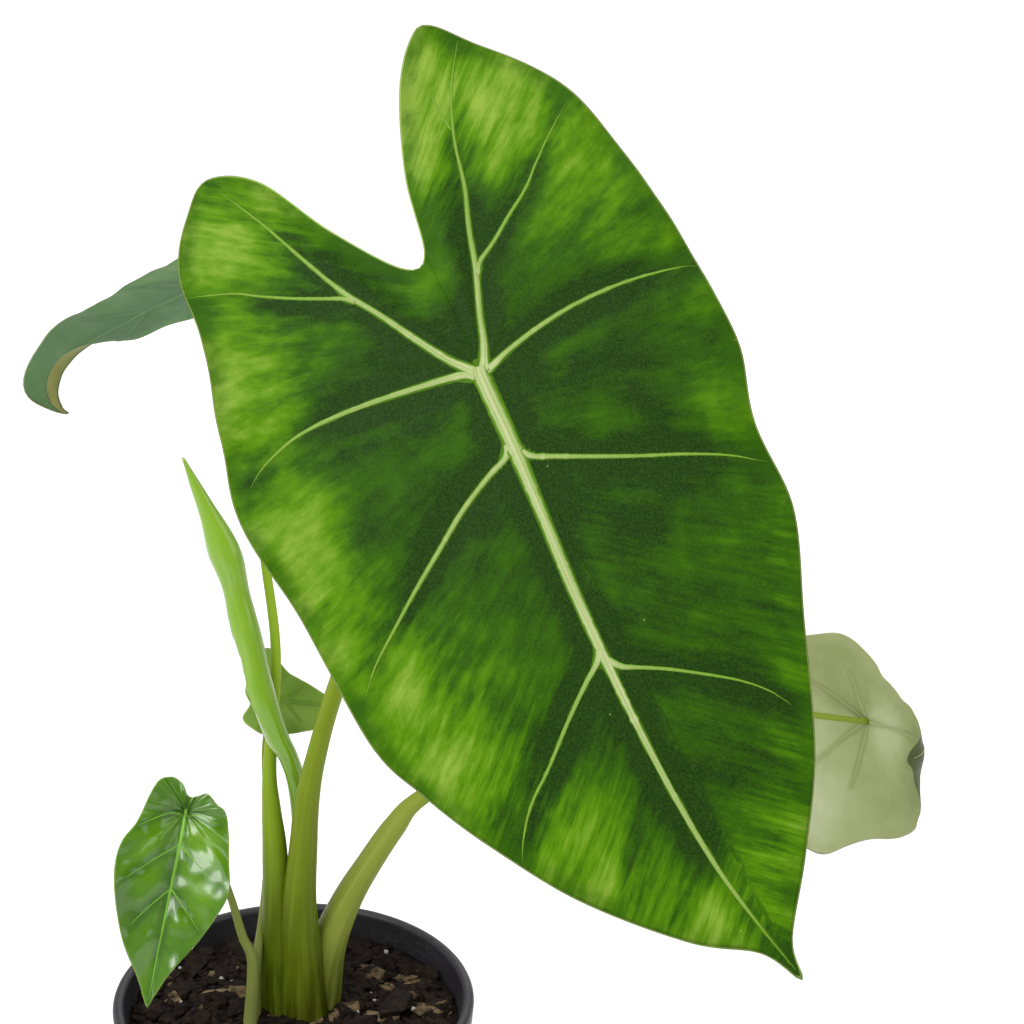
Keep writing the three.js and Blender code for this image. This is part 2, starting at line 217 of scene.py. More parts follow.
@dataclass
class Skin:
    """A closed mesh made from a sphere, which knows the ring and the angle of each of its points."""

    obj: bpy.types.Object
    ring: Array
    angle: Array

    def mark(self, name: str, values: Array) -> None:
        """Stores a number, or a row of three, for each point of the mesh.

        Args:
            name: the attribute's name.
            values: one number or one row of three for each point.
        """
        kind, key = ("FLOAT", "value") if values.ndim == 1 else ("FLOAT_VECTOR", "vector")
        layer = self.obj.data.attributes.new(name, kind, "POINT")
        layer.data.foreach_set(key, np.ascontiguousarray(values, np.float32).ravel())

    def lay_flat(self, name: str, pairs: Array) -> None:
        """Stores a flat map of the mesh.

        Args:
            name: the map's name.
            pairs: the flat place of each point.
        """
        mesh = self.obj.data
        layer = mesh.uv_layers.new(name=name)
        corners = np.zeros(len(mesh.loops), np.int32)
        mesh.loops.foreach_get("vertex_index", corners)
        layer.data.foreach_set("uv", np.ascontiguousarray(pairs[corners], np.float32).ravel())


def to_object(name: str, mesh: bmesh.types.BMesh, smooth: bool = True) -> bpy.types.Object:
    """Makes an object of a finished bmesh and frees it.

    Args:
        name: the object's name.
        mesh: the bmesh, in metres.
        smooth: whether its faces are shaded smooth.

    Returns:
        The object, linked to the scene at the origin.
    """
    data = bpy.data.meshes.new(name)
    mesh.to_mesh(data)
    mesh.free()
    data.polygons.foreach_set("use_smooth", [smooth] * len(data.polygons))
    obj = bpy.data.objects.new(name, data)
    bpy.context.scene.collection.objects.link(obj)
    return obj


def stretched_sphere(
    name: str, sides: int, rings: int, shape: Callable[[Array, Array], Array]
) -> Skin:
    """Makes a closed skin by moving the points of a sphere to their places.

    Args:
        name: the object's name.
        sides: how many points go round each ring.
        rings: how many bands lie between the two poles.
        shape: gives places in millimetres from ring numbers and angles.

    Returns:
        The skin.
    """
    sphere = bmesh.new()
    bmesh.ops.create_uvsphere(sphere, u_segments=sides, v_segments=rings, radius=1)
    balls = np.array([vertex.co[:] for vertex in sphere.verts])
    ring = np.rint(np.arccos(np.clip(-balls[:, 2], -1, 1)) / np.pi * rings)
    angle = np.arctan2(balls[:, 1], balls[:, 0])
    for vertex, place in zip(sphere.verts, shape(ring, angle) * MM):
        vertex.co = place
    bmesh.ops.recalc_face_normals(sphere, faces=sphere.faces)
    return Skin(to_object(name, sphere), ring, angle)


def join(objects: Sequence[bpy.types.Object]) -> bpy.types.Object:
    """Joins objects into the first of them and returns it."""
    chosen = list(objects)
    with bpy.context.temp_override(
        active_object=chosen[0], object=chosen[0], selected_objects=chosen, selected_editable_objects=chosen
    ):
        bpy.ops.object.join()
    return chosen[0]


def settle(obj: bpy.types.Object, slot: str, *nodes: str) -> None:
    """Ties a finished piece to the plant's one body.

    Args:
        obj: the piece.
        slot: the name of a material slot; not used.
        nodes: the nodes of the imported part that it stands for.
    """
    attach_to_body(obj, BODY)
    if nodes:
        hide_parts(*nodes)
    log.info("%s: %d faces", obj.name, len(obj.data.polygons))


# ---------------------------------------------------------------- finishes


class NodeSheet:
    """The nodes of one material."""

    def __init__(self, name: str) -> None:
        """Starts an empty material."""
        self.material = bpy.data.materials.new(name)
        self.material.use_nodes = True
        self.tree = self.material.node_tree
        self.tree.nodes.clear()

    def add(self, kind: str, values: dict | None = None, **settings: object) -> bpy.types.Node:
        """Adds a node.

        Args:
            kind: the node's type.
            values: a number, a colour or a socket for each named or numbered input.
            settings: the node's own settings.

        Returns:
            The node.
        """
        node = self.tree.nodes.new(kind)
        for key, setting in settings.items():
            setattr(node, key, setting)
        for key, value in (values or {}).items():
            if isinstance(value, Socket):
                self.tree.links.new(value, node.inputs[key])
            else:
                node.inputs[key].default_value = value
        return node

    def attribute(self, name: str, output: str = "Fac") -> Socket:
        """Reads a value stored in the mesh."""
        return self.add("ShaderNodeAttribute", attribute_name=name).outputs[output]

    def place(self, scale: Sequence[float] = (1, 1, 1)) -> Socket:
        """Gives the place on the object, in metres times a scale."""
        source = self.add("ShaderNodeTexCoord").outputs["Object"]
        return self.stretch(source, scale)

    def stretch(self, vector: Socket, scale: Sequence[float]) -> Socket:
        """Scales a vector along its three directions."""
        return self.add("ShaderNodeMapping", {"Vector": vector, "Scale": tuple(scale)}).outputs[0]

    def grain(
        self, vector: Socket, scale: float, detail: float = 3.0, roughness: float = 0.55
    ) -> Socket:
        """Gives a random pattern between about 0.2 and 0.8."""
        values = {"Vector": vector, "Scale": scale, "Detail": detail, "Roughness": roughness}
        return self.add("ShaderNodeTexNoise", values).outputs["Fac"]

    def math(self, operation: str, *values: object) -> Socket:
        """Joins numbers by an operation."""
        inputs = dict(enumerate(values))
        return self.add("ShaderNodeMath", inputs, operation=operation).outputs[0]

    def spread(
        self, value: object, low: float, high: float, start: float = 0, end: float = 1
    ) -> Socket:
        """Brings a value's range from low and high smoothly to start and end, and keeps it there."""
        values = {"Value": value, "From Min": low, "From Max": high, "To Min": start, "To Max": end}
        return self.add("ShaderNodeMapRange", values, interpolation_type="SMOOTHSTEP").outputs[0]

    def weigh(self, first: Socket, first_share: float, second: Socket, second_share: float) -> Socket:
        """Adds two values, each times its share."""
        weighed = self.math("MULTIPLY", first, first_share)
        return self.math("ADD", weighed, self.math("MULTIPLY", second, second_share))

    def mix(self, share: object, low: object, high: object) -> Socket:
        """Mixes two colours by a share."""
        return self.add("ShaderNodeMix", {0: share, 6: low, 7: high}, data_type="RGBA").outputs[2]

    def ramp(self, value: Socket, stops: Sequence[tuple[float, Colour]]) -> Socket:
        """Gives a colour for a value.

        Args:
            value: the value, from 0 to 1.
            stops: places and their colours, in order.

        Returns:
            The colour.
        """
        node = self.add("ShaderNodeValToRGB", {0: value})
        elements = node.color_ramp.elements
        while len(elements) < len(stops):
            elements.new(0.5)
        for element, (place, colour) in zip(elements, stops):
            element.position = place
            element.color = colour
        return node.outputs[0]

    def bump(self, height: Socket, depth: float) -> Socket:
        """Gives normals for a relief from 0 to 1 whose depth is in millimetres."""
        values = {"Height": height, "Distance": depth * MM, "Strength": 1.0}
        return self.add("ShaderNodeBump", values).outputs[0]

    def finish(self, **values: object) -> bpy.types.Material:
        """Closes the sheet with its surface shader.

        Args:
            values: the shader's inputs, with a line for each space in their names.

        Returns:
            The material.
        """
        inputs = {key.replace("_", " "): value for key, value in values.items()}
        shader = self.add("ShaderNodeBsdfPrincipled", inputs)
        self.add("ShaderNodeOutputMaterial", {"Surface": shader.outputs[0]})
        return self.material


# How often a blade's streaks repeat in a millimetre across and along their course.
BROAD_STREAKS = (0.06, 0.014, 1)
NARROW_STREAKS = (0.36, 0.05, 1)
# How often its other patterns repeat in a metre.
CLOUDS = (45, 45, 45)
# The next spacing is that of the tiny painted glints, spots of painted highlight.
GLINT_SPACING = (75, 75, 75)
FINE_RELIEF = (350, 350, 350)
SURFACE_GRAIN = (1500, 1500, 1500)
# How strongly the streaks and the clouds shift a blade's tone.
STREAK_GAIN = 3.4
CLOUD_GAIN = 0.9
# The tones at which a blade has its four colours, from dark to pale.
TONE_STOPS = (0, 0.26, 0.58, 1)


@dataclass(frozen=True)
class BladeFinish:
    """A leaf's face: dark beside the veins, brighter between them, streaked from the midrib outwards."""

    name: str
    dark: Colour
    middle: Colour
    bright: Colour
    pale: Colour
    halo: Colour
    # rim: a thin pale line along the edge, partly the blade's own pale edge and partly a painted highlight
    # where light catches the edge; the painted glints take this colour too.
    rim: Colour
    streaks: float = 0.5
    roughness: float = 0.55
    specular: float = 0.1
    coat: float = 0.0
    coat_roughness: float = 0.2
    pucker: float = 0.3
    # How strongly tiny painted glints, spots of painted highlight, show on the face.
    painted_glints: float = 0.0

    def build(self) -> bpy.types.Material:
        """Makes the material."""
        sheet = NodeSheet(self.name)
        flow = sheet.attribute("flow", "Vector")
        broad = sheet.grain(sheet.stretch(flow, BROAD_STREAKS), 1.0, 2.0, 0.5)
        narrow = sheet.grain(sheet.stretch(flow, NARROW_STREAKS), 1.0, 5.0, 0.65)
        cloud = sheet.grain(sheet.place(CLOUDS), 1.0, 5.0, 0.6)
        streak = sheet.math("SUBTRACT", sheet.weigh(broad, 0.5, narrow, 0.5), 0.5)
        swing = sheet.math("MULTIPLY", streak, self.streaks * STREAK_GAIN)
        swing = sheet.math("MULTIPLY", swing, sheet.attribute("streaky"))
        glow = sheet.attribute("glow")
        loose = sheet.math("MULTIPLY", swing, sheet.spread(glow, 0.0, 0.45, 0.4, 1.0))
        drift = sheet.math("MULTIPLY", sheet.math("SUBTRACT", cloud, 0.42), CLOUD_GAIN)
        tone = sheet.math("ADD", glow, sheet.math("ADD", loose, drift))
        vein = sheet.attribute("vein")
        tone = sheet.math("SUBTRACT", tone, sheet.spread(vein, 0.5, 10.0, 0.3, 0.0))
        colours = (self.dark, self.middle, self.bright, self.pale)
        colour = sheet.ramp(tone, list(zip(TONE_STOPS, colours)))
        grain = sheet.grain(sheet.place(SURFACE_GRAIN), 1.0, 2.0, 0.7)
        colour = sheet.mix(sheet.spread(grain, 0.35, 0.7, 0.0, 0.17), colour, self.halo)
        colour = sheet.mix(sheet.spread(vein, 0.0, 0.4, 0.7, 0.0), colour, self.halo)
        margin = sheet.attribute("margin")
        patchy = sheet.spread(cloud, 0.35, 0.6, 1.0, 0.35)
        band = sheet.math("MULTIPLY", sheet.spread(margin, 2.0, 8.0, 0.8, 0.0), patchy)
        colour = sheet.mix(band, colour, self.middle)
        # A thin pale line along the edge: partly the blade's own pale edge, partly a painted highlight where
        # light catches the edge.
        colour = sheet.mix(sheet.spread(margin, 0.25, 0.7, 0.85, 0.0), colour, self.rim)
        # Tiny painted glints: small spots of painted highlight in the rim colour.
        cells = sheet.add("ShaderNodeTexVoronoi", {"Vector": sheet.place(GLINT_SPACING), "Scale": 1.0})
        glint_share = sheet.spread(cells.outputs["Distance"], 0.012, 0.03, self.painted_glints, 0.0)
        colour = sheet.mix(glint_share, colour, self.rim)
        fine = sheet.grain(sheet.place(FINE_RELIEF), 1.0, 4.0, 0.6)
        height = sheet.weigh(narrow, 0.7, fine, 0.3)
        return sheet.finish(
            Base_Color=colour,
            Roughness=sheet.spread(fine, 0.3, 0.7, self.roughness - 0.06, self.roughness + 0.06),
            Specular_IOR_Level=self.specular,
            Coat_Weight=self.coat,
            Coat_Roughness=self.coat_roughness,
            Normal=sheet.bump(height, self.pucker),
        )


@dataclass(frozen=True)
class VeinFinish:
    """A vein: palest on its crest, greener at its sides and towards its end."""

    name: str
    crest: Colour
    side: Colour
    end: Colour
    roughness: float = 0.5

    def build(self) -> bpy.types.Material:
        """Makes the material."""
        sheet = NodeSheet(self.name)
        crest = sheet.attribute("crest")
        thick = sheet.attribute("thick")
        flow = sheet.attribute("flow", "Vector")
        lines = sheet.grain(sheet.stretch(flow, (2.2, 0.04, 1)), 1.0, 3.0)
        bands = sheet.grain(sheet.stretch(flow, (0.7, 0.012, 1)), 1.0, 1.0)
        body = sheet.mix(sheet.spread(thick, 0.8, 3.6), self.end, self.crest)
        faint = sheet.spread(lines, 0.4, 0.7, 0.0, 0.4)
        strong = sheet.spread(bands, 0.42, 0.62, 0.0, 0.5)
        body = sheet.mix(sheet.math("ADD", faint, strong), body, self.end)
        colour = sheet.mix(sheet.spread(crest, 0.55, 0.9), self.side, body)
        return sheet.finish(
            Base_Color=colour,
            Roughness=sheet.spread(lines, 0.3, 0.7, self.roughness - 0.08, self.roughness + 0.08),
            Specular_IOR_Level=0.12,
            Normal=sheet.bump(lines, 0.15),
        )


@dataclass(frozen=True)
class StalkFinish:
    """A fleshy stalk: fine lengthwise lines, a browner foot, a paler crown and a gloss if it has a coat."""

    name: str
    foot: Colour
    middle: Colour
    crown: Colour
    line: Colour
    roughness: float = 0.42
    coat: float = 0.0

    def build(self) -> bpy.types.Material:
        """Makes the material."""
        sheet = NodeSheet(self.name)
        flow = sheet.attribute("flow", "Vector")
        height = sheet.attribute("height")
        blotch = sheet.grain(sheet.place((60, 60, 25)), 1.0, 3.0)
        lines = sheet.grain(sheet.stretch(flow, (3.2, 3.2, 0.02)), 1.0, 3.0, 0.6)
        blotch = sheet.math("MULTIPLY", sheet.math("SUBTRACT", blotch, 0.5), 0.5)
        stops = [(0, self.foot), (0.25, self.middle), (1, self.crown)]
        colour = sheet.ramp(sheet.math("ADD", height, blotch), stops)
        colour = sheet.mix(sheet.spread(lines, 0.42, 0.72, 0.0, 0.4), colour, self.line)
        pores = sheet.grain(sheet.place((700, 700, 260)), 1.0, 2.0)
        relief = sheet.weigh(lines, 0.7, pores, 0.3)
        return sheet.finish(
            Base_Color=colour,
            Roughness=sheet.spread(pores, 0.3, 0.7, self.roughness - 0.08, self.roughness + 0.1),
            Specular_IOR_Level=0.12,
            Coat_Weight=self.coat,
            Coat_Roughness=0.08,
            Normal=sheet.bump(relief, 0.09),
        )


@dataclass(frozen=True)
class PlasticFinish:
    """Moulded pot plastic: faint mottling, fine grain and lighter scuffs."""

    name: str
    colour: Colour
    scuff: Colour

    def build(self) -> bpy.types.Material:
        """Makes the material."""
        sheet = NodeSheet(self.name)
        cloud = sheet.grain(sheet.place((30, 30, 55)), 1.0, 4.0)
        fine = sheet.grain(sheet.place((1400, 1400, 1400)), 1.0, 2.0, 0.6)
        rub = sheet.grain(sheet.place((260, 260, 900)), 1.0, 3.0, 0.7)
        rubbed = sheet.spread(rub, 0.45, 0.7, 0.0, 0.7)
        share = sheet.math("MULTIPLY", sheet.spread(cloud, 0.42, 0.72), rubbed)
        return sheet.finish(
            Base_Color=sheet.mix(share, self.colour, self.scuff),
            Roughness=sheet.spread(cloud, 0.3, 0.7, 0.36, 0.52),
            Specular_IOR_Level=0.4,
            Normal=sheet.bump(fine, 0.06),
        )


@dataclass(frozen=True)
class EarthFinish:
    """Mix, bark, root or stone: two tones that mingle in grains, with a rough relief."""

    name: str
    dark: Colour
    light: Colour
    stretch: tuple[float, float, float] = (300, 300, 300)
    relief: float = 0.5
    roughness: float = 0.85

    def build(self) -> bpy.types.Material:
        """Makes the material."""
        sheet = NodeSheet(self.name)
        place = sheet.place(self.stretch)
        grains = sheet.grain(place, 1.0, 5.0, 0.65)
        fleck = sheet.grain(place, 3.7, 3.0, 0.7)
        colour = sheet.mix(sheet.spread(grains, 0.35, 0.68), self.dark, self.light)
        colour = sheet.mix(sheet.spread(fleck, 0.55, 0.75, 0.0, 0.5), colour, self.dark)
        return sheet.finish(
            Base_Color=colour,
            Roughness=sheet.spread(fleck, 0.3, 0.7, self.roughness - 0.12, self.roughness + 0.08),
            Specular_IOR_Level=0.15,
            Normal=sheet.bump(sheet.math("ADD", grains, sheet.math("MULTIPLY", fleck, 0.5)), self.relief),
        )


VELVET_TOP = BladeFinish(
    "velvet_top",
    dark=paint(22, 50, 6),
    middle=paint(44, 87, 0),
    bright=paint(84, 133, 0),
    pale=paint(138, 169, 60),
    halo=paint(86, 130, 22),
    # This rim colour is brightened as a painted highlight along the edge.
    rim=paint(164, 188, 100),
    streaks=0.75,
    specular=0.06,
    # This face carries tiny painted glints, spots of painted highlight.
    painted_glints=0.5,
)
VELVET_UNDER = BladeFinish(
    "velvet_under",
    dark=paint(158, 168, 110),
    middle=paint(176, 186, 130),
    bright=paint(194, 204, 154),
    pale=paint(208, 216, 174),
    halo=paint(182, 192, 138),
    rim=paint(198, 206, 158),
    streaks=0.2,
    roughness=0.6,
    specular=0.12,
)
OLIVE_UNDER = BladeFinish(
    "olive_under",
    dark=paint(132, 136, 72),
    middle=paint(148, 150, 84),
    bright=paint(166, 168, 104),
    pale=paint(182, 184, 124),
    halo=paint(156, 160, 94),
    rim=paint(186, 188, 126),
    streaks=0.3,
    roughness=0.6,
    specular=0.12,
)
REAR_TOP = BladeFinish(
    "rear_top",
    dark=paint(66, 96, 60),
    middle=paint(78, 112, 68),
    bright=paint(96, 128, 76),
    pale=paint(126, 148, 92),
    halo=paint(98, 128, 78),
    rim=paint(150, 160, 108),
    streaks=0.3,
    roughness=0.5,
    specular=0.2,
)
OLIVE_TOP = BladeFinish(
    "olive_top",
    dark=paint(66, 74, 34),
    middle=paint(80, 88, 42),
    bright=paint(100, 108, 58),
    pale=paint(124, 132, 80),
    halo=paint(110, 120, 66),
    rim=paint(150, 160, 108),
    streaks=0.3,
    roughness=0.5,
    specular=0.2,
)
SOFT_TOP = BladeFinish(
    "soft_top",
    dark=paint(94, 132, 34),
    middle=paint(112, 146, 46),
    bright=paint(136, 166, 72),
    pale=paint(164, 186, 108),
    halo=paint(126, 158, 60),
    rim=paint(160, 180, 96),
    streaks=0.3,
    roughness=0.5,
    specular=0.2,
)
GLOSSY_TOP = BladeFinish(
    "glossy_top",
    dark=paint(54, 96, 0),
    middle=paint(72, 120, 0),
    bright=paint(94, 142, 0),
    pale=paint(128, 168, 30),
    halo=paint(94, 140, 6),
    rim=paint(126, 162, 46),
    streaks=0.3,
    roughness=0.35,
    specular=0.1,
    coat=1.0,
    coat_roughness=0.13,
    pucker=0.15,
)
CREAM_VEIN = VeinFinish("cream_vein", paint(188, 196, 144), paint(88, 138, 16), paint(122, 156, 52))
LEAF_VEIN = VeinFinish("leaf_vein", paint(112, 138, 88), paint(88, 120, 74), paint(92, 124, 76))
SOFT_VEIN = VeinFinish("soft_vein", paint(132, 160, 74), paint(110, 142, 52), paint(112, 144, 54))
PALE_VEIN = VeinFinish("pale_vein", paint(190, 200, 146), paint(176, 186, 132), paint(178, 188, 134))
FRESH_VEIN = VeinFinish("fresh_vein", paint(180, 212, 128), paint(104, 170, 48), paint(120, 178, 60), 0.3)
STALK = StalkFinish(
    "stalk", paint(54, 60, 2), paint(98, 114, 8), paint(128, 150, 26), paint(134, 150, 46)
)
# The left stalk's crown is paler than the others': partly the stalk's own paler crown, partly painted light
# that makes up for the shade its upper part lies in.
GREEN_STALK = StalkFinish(
    "green_stalk", paint(54, 60, 2), paint(100, 118, 8), paint(150, 184, 44), paint(144, 168, 52)
)
PALE_STALK = StalkFinish(
    "pale_stalk", paint(84, 94, 16), paint(138, 152, 58), paint(142, 160, 40), paint(164, 176, 92)
)
THIN_STALK = StalkFinish(
    "thin_stalk", paint(150, 158, 84), paint(142, 154, 76), paint(116, 134, 36), paint(160, 170, 98)
)
ROLLED = StalkFinish(
    "rolled_blade", paint(76, 124, 0), paint(90, 140, 0), paint(124, 168, 26), paint(148, 184, 70), 0.35, 1.0
)
PLASTIC = PlasticFinish("pot_plastic", paint(44, 42, 46), paint(80, 78, 82))
MIX = EarthFinish("mix", paint(12, 7, 4), paint(30, 20, 14), relief=1.2, roughness=0.9)
PEAT = EarthFinish("peat", paint(16, 10, 6), paint(44, 31, 22), relief=0.8, roughness=0.85)
BARK = EarthFinish("bark", paint(64, 50, 34), paint(128, 110, 80), (240, 240, 700), relief=0.6)
PERLITE = EarthFinish("perlite", paint(168, 164, 156), paint(232, 230, 224), relief=0.4)
CORM = EarthFinish("corm", paint(70, 58, 34), paint(122, 112, 64), (120, 120, 420), relief=0.6, roughness=0.8)


# ---------------------------------------------------------------- leaves


@dataclass(frozen=True)
class LeafForm:
    """The bent surface that a leaf's flat shape is laid on, and the outline of that shape.

    The outline starts at the tip and is (across, along) in percent of the midrib's length. Bends are in
    degrees: bend to the tip, back to the lobes, curl extra near the tip, fold of each half, and tip_fold
    extra fold that grows to the tip.
    """

    attach: Row
    heading: Row
    face: Row
    length: float
    bend: float
    back: float
    outline: tuple[Row, ...]
    curl: float = 0.0
    curl_power: float = 4.0
    fold: float = 0.0
    tip_fold: float = 0.0
    cup: float = 0.0

    @property
    def stalk_point(self) -> Array:
        """Gives the point where the stalk meets the leaf."""
        return np.array(self.attach) + (0, 0, SOIL_TOP)

    @property
    def axes(self) -> tuple[Array, Array, Array]:
        """Gives the leaf's side, heading and face directions at its stalk."""
        heading = unit(self.heading)
        raw = np.array(self.face)
        face = unit(raw - heading * (raw @ heading))
        return np.cross(face, heading), heading, face

    @property
    def rows(self) -> Array:
        """Gives the outline in millimetres."""
        return np.array(self.outline) * self.length / 100

    def turn(self, along: Array) -> Array:
        """Gives the midrib's turn at a distance along it."""
        share = along / self.length
        curled = math.radians(self.curl) * np.maximum(share, 0) ** self.curl_power
        ahead = math.radians(self.bend) * share + curled
        return np.where(share < 0, math.radians(self.back) * share, ahead)

    def lay(self, flat: Array, lift: Array) -> Array:
        """Lays flat points on the bent surface.

        Args:
            flat: rows of (across, along) in millimetres.
            lift: height of each point over the surface.

        Returns:
            Places in millimetres, in the part's frame.
        """
        side, heading, face = self.axes
        across, along = flat[:, 0], flat[:, 1]
        steps = 24
        points = np.tile(self.stalk_point, (len(flat), 1))
        for index in range(steps):
            angle = self.turn((index + 0.5) / steps * along)
            points += np.outer(np.cos(angle) * along / steps, heading)
            points -= np.outer(np.sin(angle) * along / steps, face)
        angle = self.turn(along)
        normal = np.outer(np.cos(angle), face) + np.outer(np.sin(angle), heading)
        tip_fold = self.tip_fold * smooth_step(*TIP_FOLD_SPAN, along / self.length)
        fold = np.radians(self.fold + tip_fold)
        rise = np.abs(across) * np.sin(fold) + self.cup * (across / 50) ** 2 + lift
        return points + np.outer(across * np.cos(fold), side) + normal * rise[:, None]


@dataclass(frozen=True)
class Vein:
    """A vein's rows of (across, along, width) in millimetres, from its root to its end."""

    rows: tuple[Row, ...]

    def stations(self, shares: Array) -> Array:
        """Gives rows at shares of the vein's length."""
        return even_spline(np.array(self.rows), shares, measured=2)


def mirrored(rows: tuple[Row, ...]) -> tuple[Vein, Vein]:
    """Gives a vein and its mirror image on the leaf's other half."""
    return Vein(rows), Vein(tuple((-across, along, width) for across, along, width in rows))


@dataclass(frozen=True)
class Patch:
    """A brighter place on a blade: its middle, its reach in two directions and its strength."""

    across: float
    along: float
    wide: float
    tall: float
    strength: float

    def glow(self, flat: Array) -> Array:
        """Gives the patch's brightness at flat points."""
        across = ((flat[:, 0] - self.across) / self.wide) ** 2
        along = ((flat[:, 1] - self.along) / self.tall) ** 2
        return self.strength * np.exp(-(across + along))


class BladeFace(Enum):
    """The two faces of a blade, by the number of their material."""

    UPPER = 0
    UNDER = 1


@dataclass
class Leaf:
    """A blade with its veins."""

    name: str
    slot: str
    form: LeafForm
    veins: tuple[Vein, ...]
    patches: tuple[Patch, ...]
    upper: BladeFinish
    under: BladeFinish
    vein_finish: VeinFinish
    sides: int = 240
    rings: int = 100
    quilt: float = 0.8
    quilt_reach: float = 10.0
    wave: float = 1.0
    waves: int = 13
    wave_reach: float = 16.0
    thickness: float = BLADE_THICKNESS
    vein_rise: float = 0.16
    vein_inset: float = 1.2
    vein_step: float = 1.2
    rib_drop: float = 0.4
    dimples: float = 0.0
    dimple_size: float = 14.0
    # The next value is painted light: how much brighter the blade is painted towards its margin, standing for
    # light shining through and glancing off it there; edge_reach is how far in that reaches, in millimetres.
    painted_edge_light: float = 0.0
    edge_reach: float = 14.0

    def edge(self, count: int = 300) -> Array:
        """Gives points round the outline."""
        return even_spline(self.form.rows, np.linspace(0, 1, count + 1), closed=True, measured=2)

    def vein_distance(self, flat: Array) -> Array:
        """Gives the distance from flat points to the nearest vein's side."""
        nearest = np.full(len(flat), FAR)
        for vein in self.veins:
            rows = vein.stations(np.linspace(0, self.reach_of(vein), 14))
            nearest = np.minimum(nearest, distance_to_line(flat, rows[:, :2], rows[:, 2] / 2))
        return np.maximum(nearest, 0)

    def reach_of(self, vein: Vein) -> float:
        """Gives the share of a vein's length at which it comes to the blade's edge."""
        shares = np.linspace(0, 1, 80)
        flat = vein.stations(shares)[:, :2]
        edge = self.edge()
        clear = lies_inside(flat, edge) & (distance_to_line(flat, edge) > self.vein_inset)
        beyond = np.flatnonzero(~clear & (shares > 0.3))
        return float(shares[beyond[0]]) if len(beyond) else 1.0

    def relief(self, flat: Array, margin: Array, veins: Array) -> Array:
        """Height of the blade's quilting and of its wavy margin.

        Args:
            flat: flat points.
            margin: their distance from the edge.
            veins: their distance from the nearest vein.

        Returns:
            The height of each point over the even surface.
        """
        round_angle = np.arctan2(flat[:, 0], flat[:, 1])
        slow = np.sin(self.waves * round_angle + 1.3)
        ripple = slow + 0.5 * np.sin(round(self.waves * 1.7) * round_angle)
        wavy = self.wave * ripple * np.exp(-margin / self.wave_reach)
        quilted = self.quilt * (1 - np.exp(-((veins / self.quilt_reach) ** 2)))
        return wavy + quilted + self.dimples * rough(flat, self.dimple_size, 2, 4.4)

    def blade_shape(self, ring: Array, angle: Array) -> tuple[Array, Array]:
        """Gives flat places and the lift of a blade's points from their rings and angles."""
        latitude = ring / self.rings * 2 - 1
        reach = 1 - np.abs(latitude)
        turned = (angle / (2 * np.pi)) % 1
        flat = even_spline(self.form.rows, turned, closed=True, measured=2) * reach[:, None]
        lift = np.sign(np.round(latitude, 6)) * self.thickness / 2 * (1 - reach**EDGE_POWER)
        return flat, lift

    def flow(self, flat: Array) -> Array:
        """Gives the streaks' own coordinates: where a streak leaves the midrib and how far out it is."""
        across = np.abs(flat[:, 0])
        scale = self.form.length / PATTERN_LENGTH
        root = flat[:, 1].copy()
        span = STREAK_SPAN * scale
        for _ in range(8):
            slope = np.radians(STREAK_SLOPE * np.tanh(root / span) - 3)
            steep = np.radians(STREAK_SLOPE / span) / np.cosh(root / span) ** 2 / np.cos(slope) ** 2
            root -= 0.8 * (root + across * np.tan(slope) - flat[:, 1]) / (1 + across * steep)
        out = np.hypot(across, flat[:, 1] - root)
        return np.column_stack([root / scale, out / scale, np.sign(flat[:, 0]) * 7.0])

    def build_blade(self) -> bpy.types.Object:
        """Makes the blade with its two faces and the values that its finish reads."""
        kept: dict[str, Array] = {}

        def shape(ring: Array, angle: Array) -> Array:
            """Places the blade's points."""
            flat, lift = self.blade_shape(ring, angle)
            kept["flat"] = flat
            kept["margin"] = distance_to_line(flat, self.edge())
            kept["vein"] = self.vein_distance(flat)
            return self.form.lay(flat, lift + self.relief(flat, kept["margin"], kept["vein"]))

        skin = stretched_sphere(self.name, self.sides, self.rings, shape)
        flat = kept["flat"]
        # The glow holds painted light near the edge, standing for light shining through it, and the brighter
        # patches.
        glow = self.painted_edge_light * np.exp(-kept["margin"] / self.edge_reach)
        for patch in self.patches:
            glow += patch.glow(flat)
        scale = PATTERN_LENGTH / self.form.length
        skin.mark("glow", np.minimum(glow, 1.1))
        skin.mark("vein", kept["vein"] * scale)
        skin.mark("margin", kept["margin"])
        skin.mark("flow", self.flow(flat))
        away_from_middle = smooth_step(0.5, 11, np.abs(flat[:, 0]) * scale)
        skin.mark("streaky", np.maximum(away_from_middle, smooth_step(-14, -3, flat[:, 1] * scale)))
        skin.lay_flat("flat", flat / 100)
        mesh = skin.obj.data
        levels = [skin.ring[list(polygon.vertices)].mean() for polygon in mesh.polygons]
        middle = self.rings / 2
        faces = [(BladeFace.UPPER if level > middle else BladeFace.UNDER).value for level in levels]
        mesh.materials.append(self.upper.build())
        mesh.materials.append(self.under.build())
        mesh.polygons.foreach_set("material_index", faces)
        return skin.obj

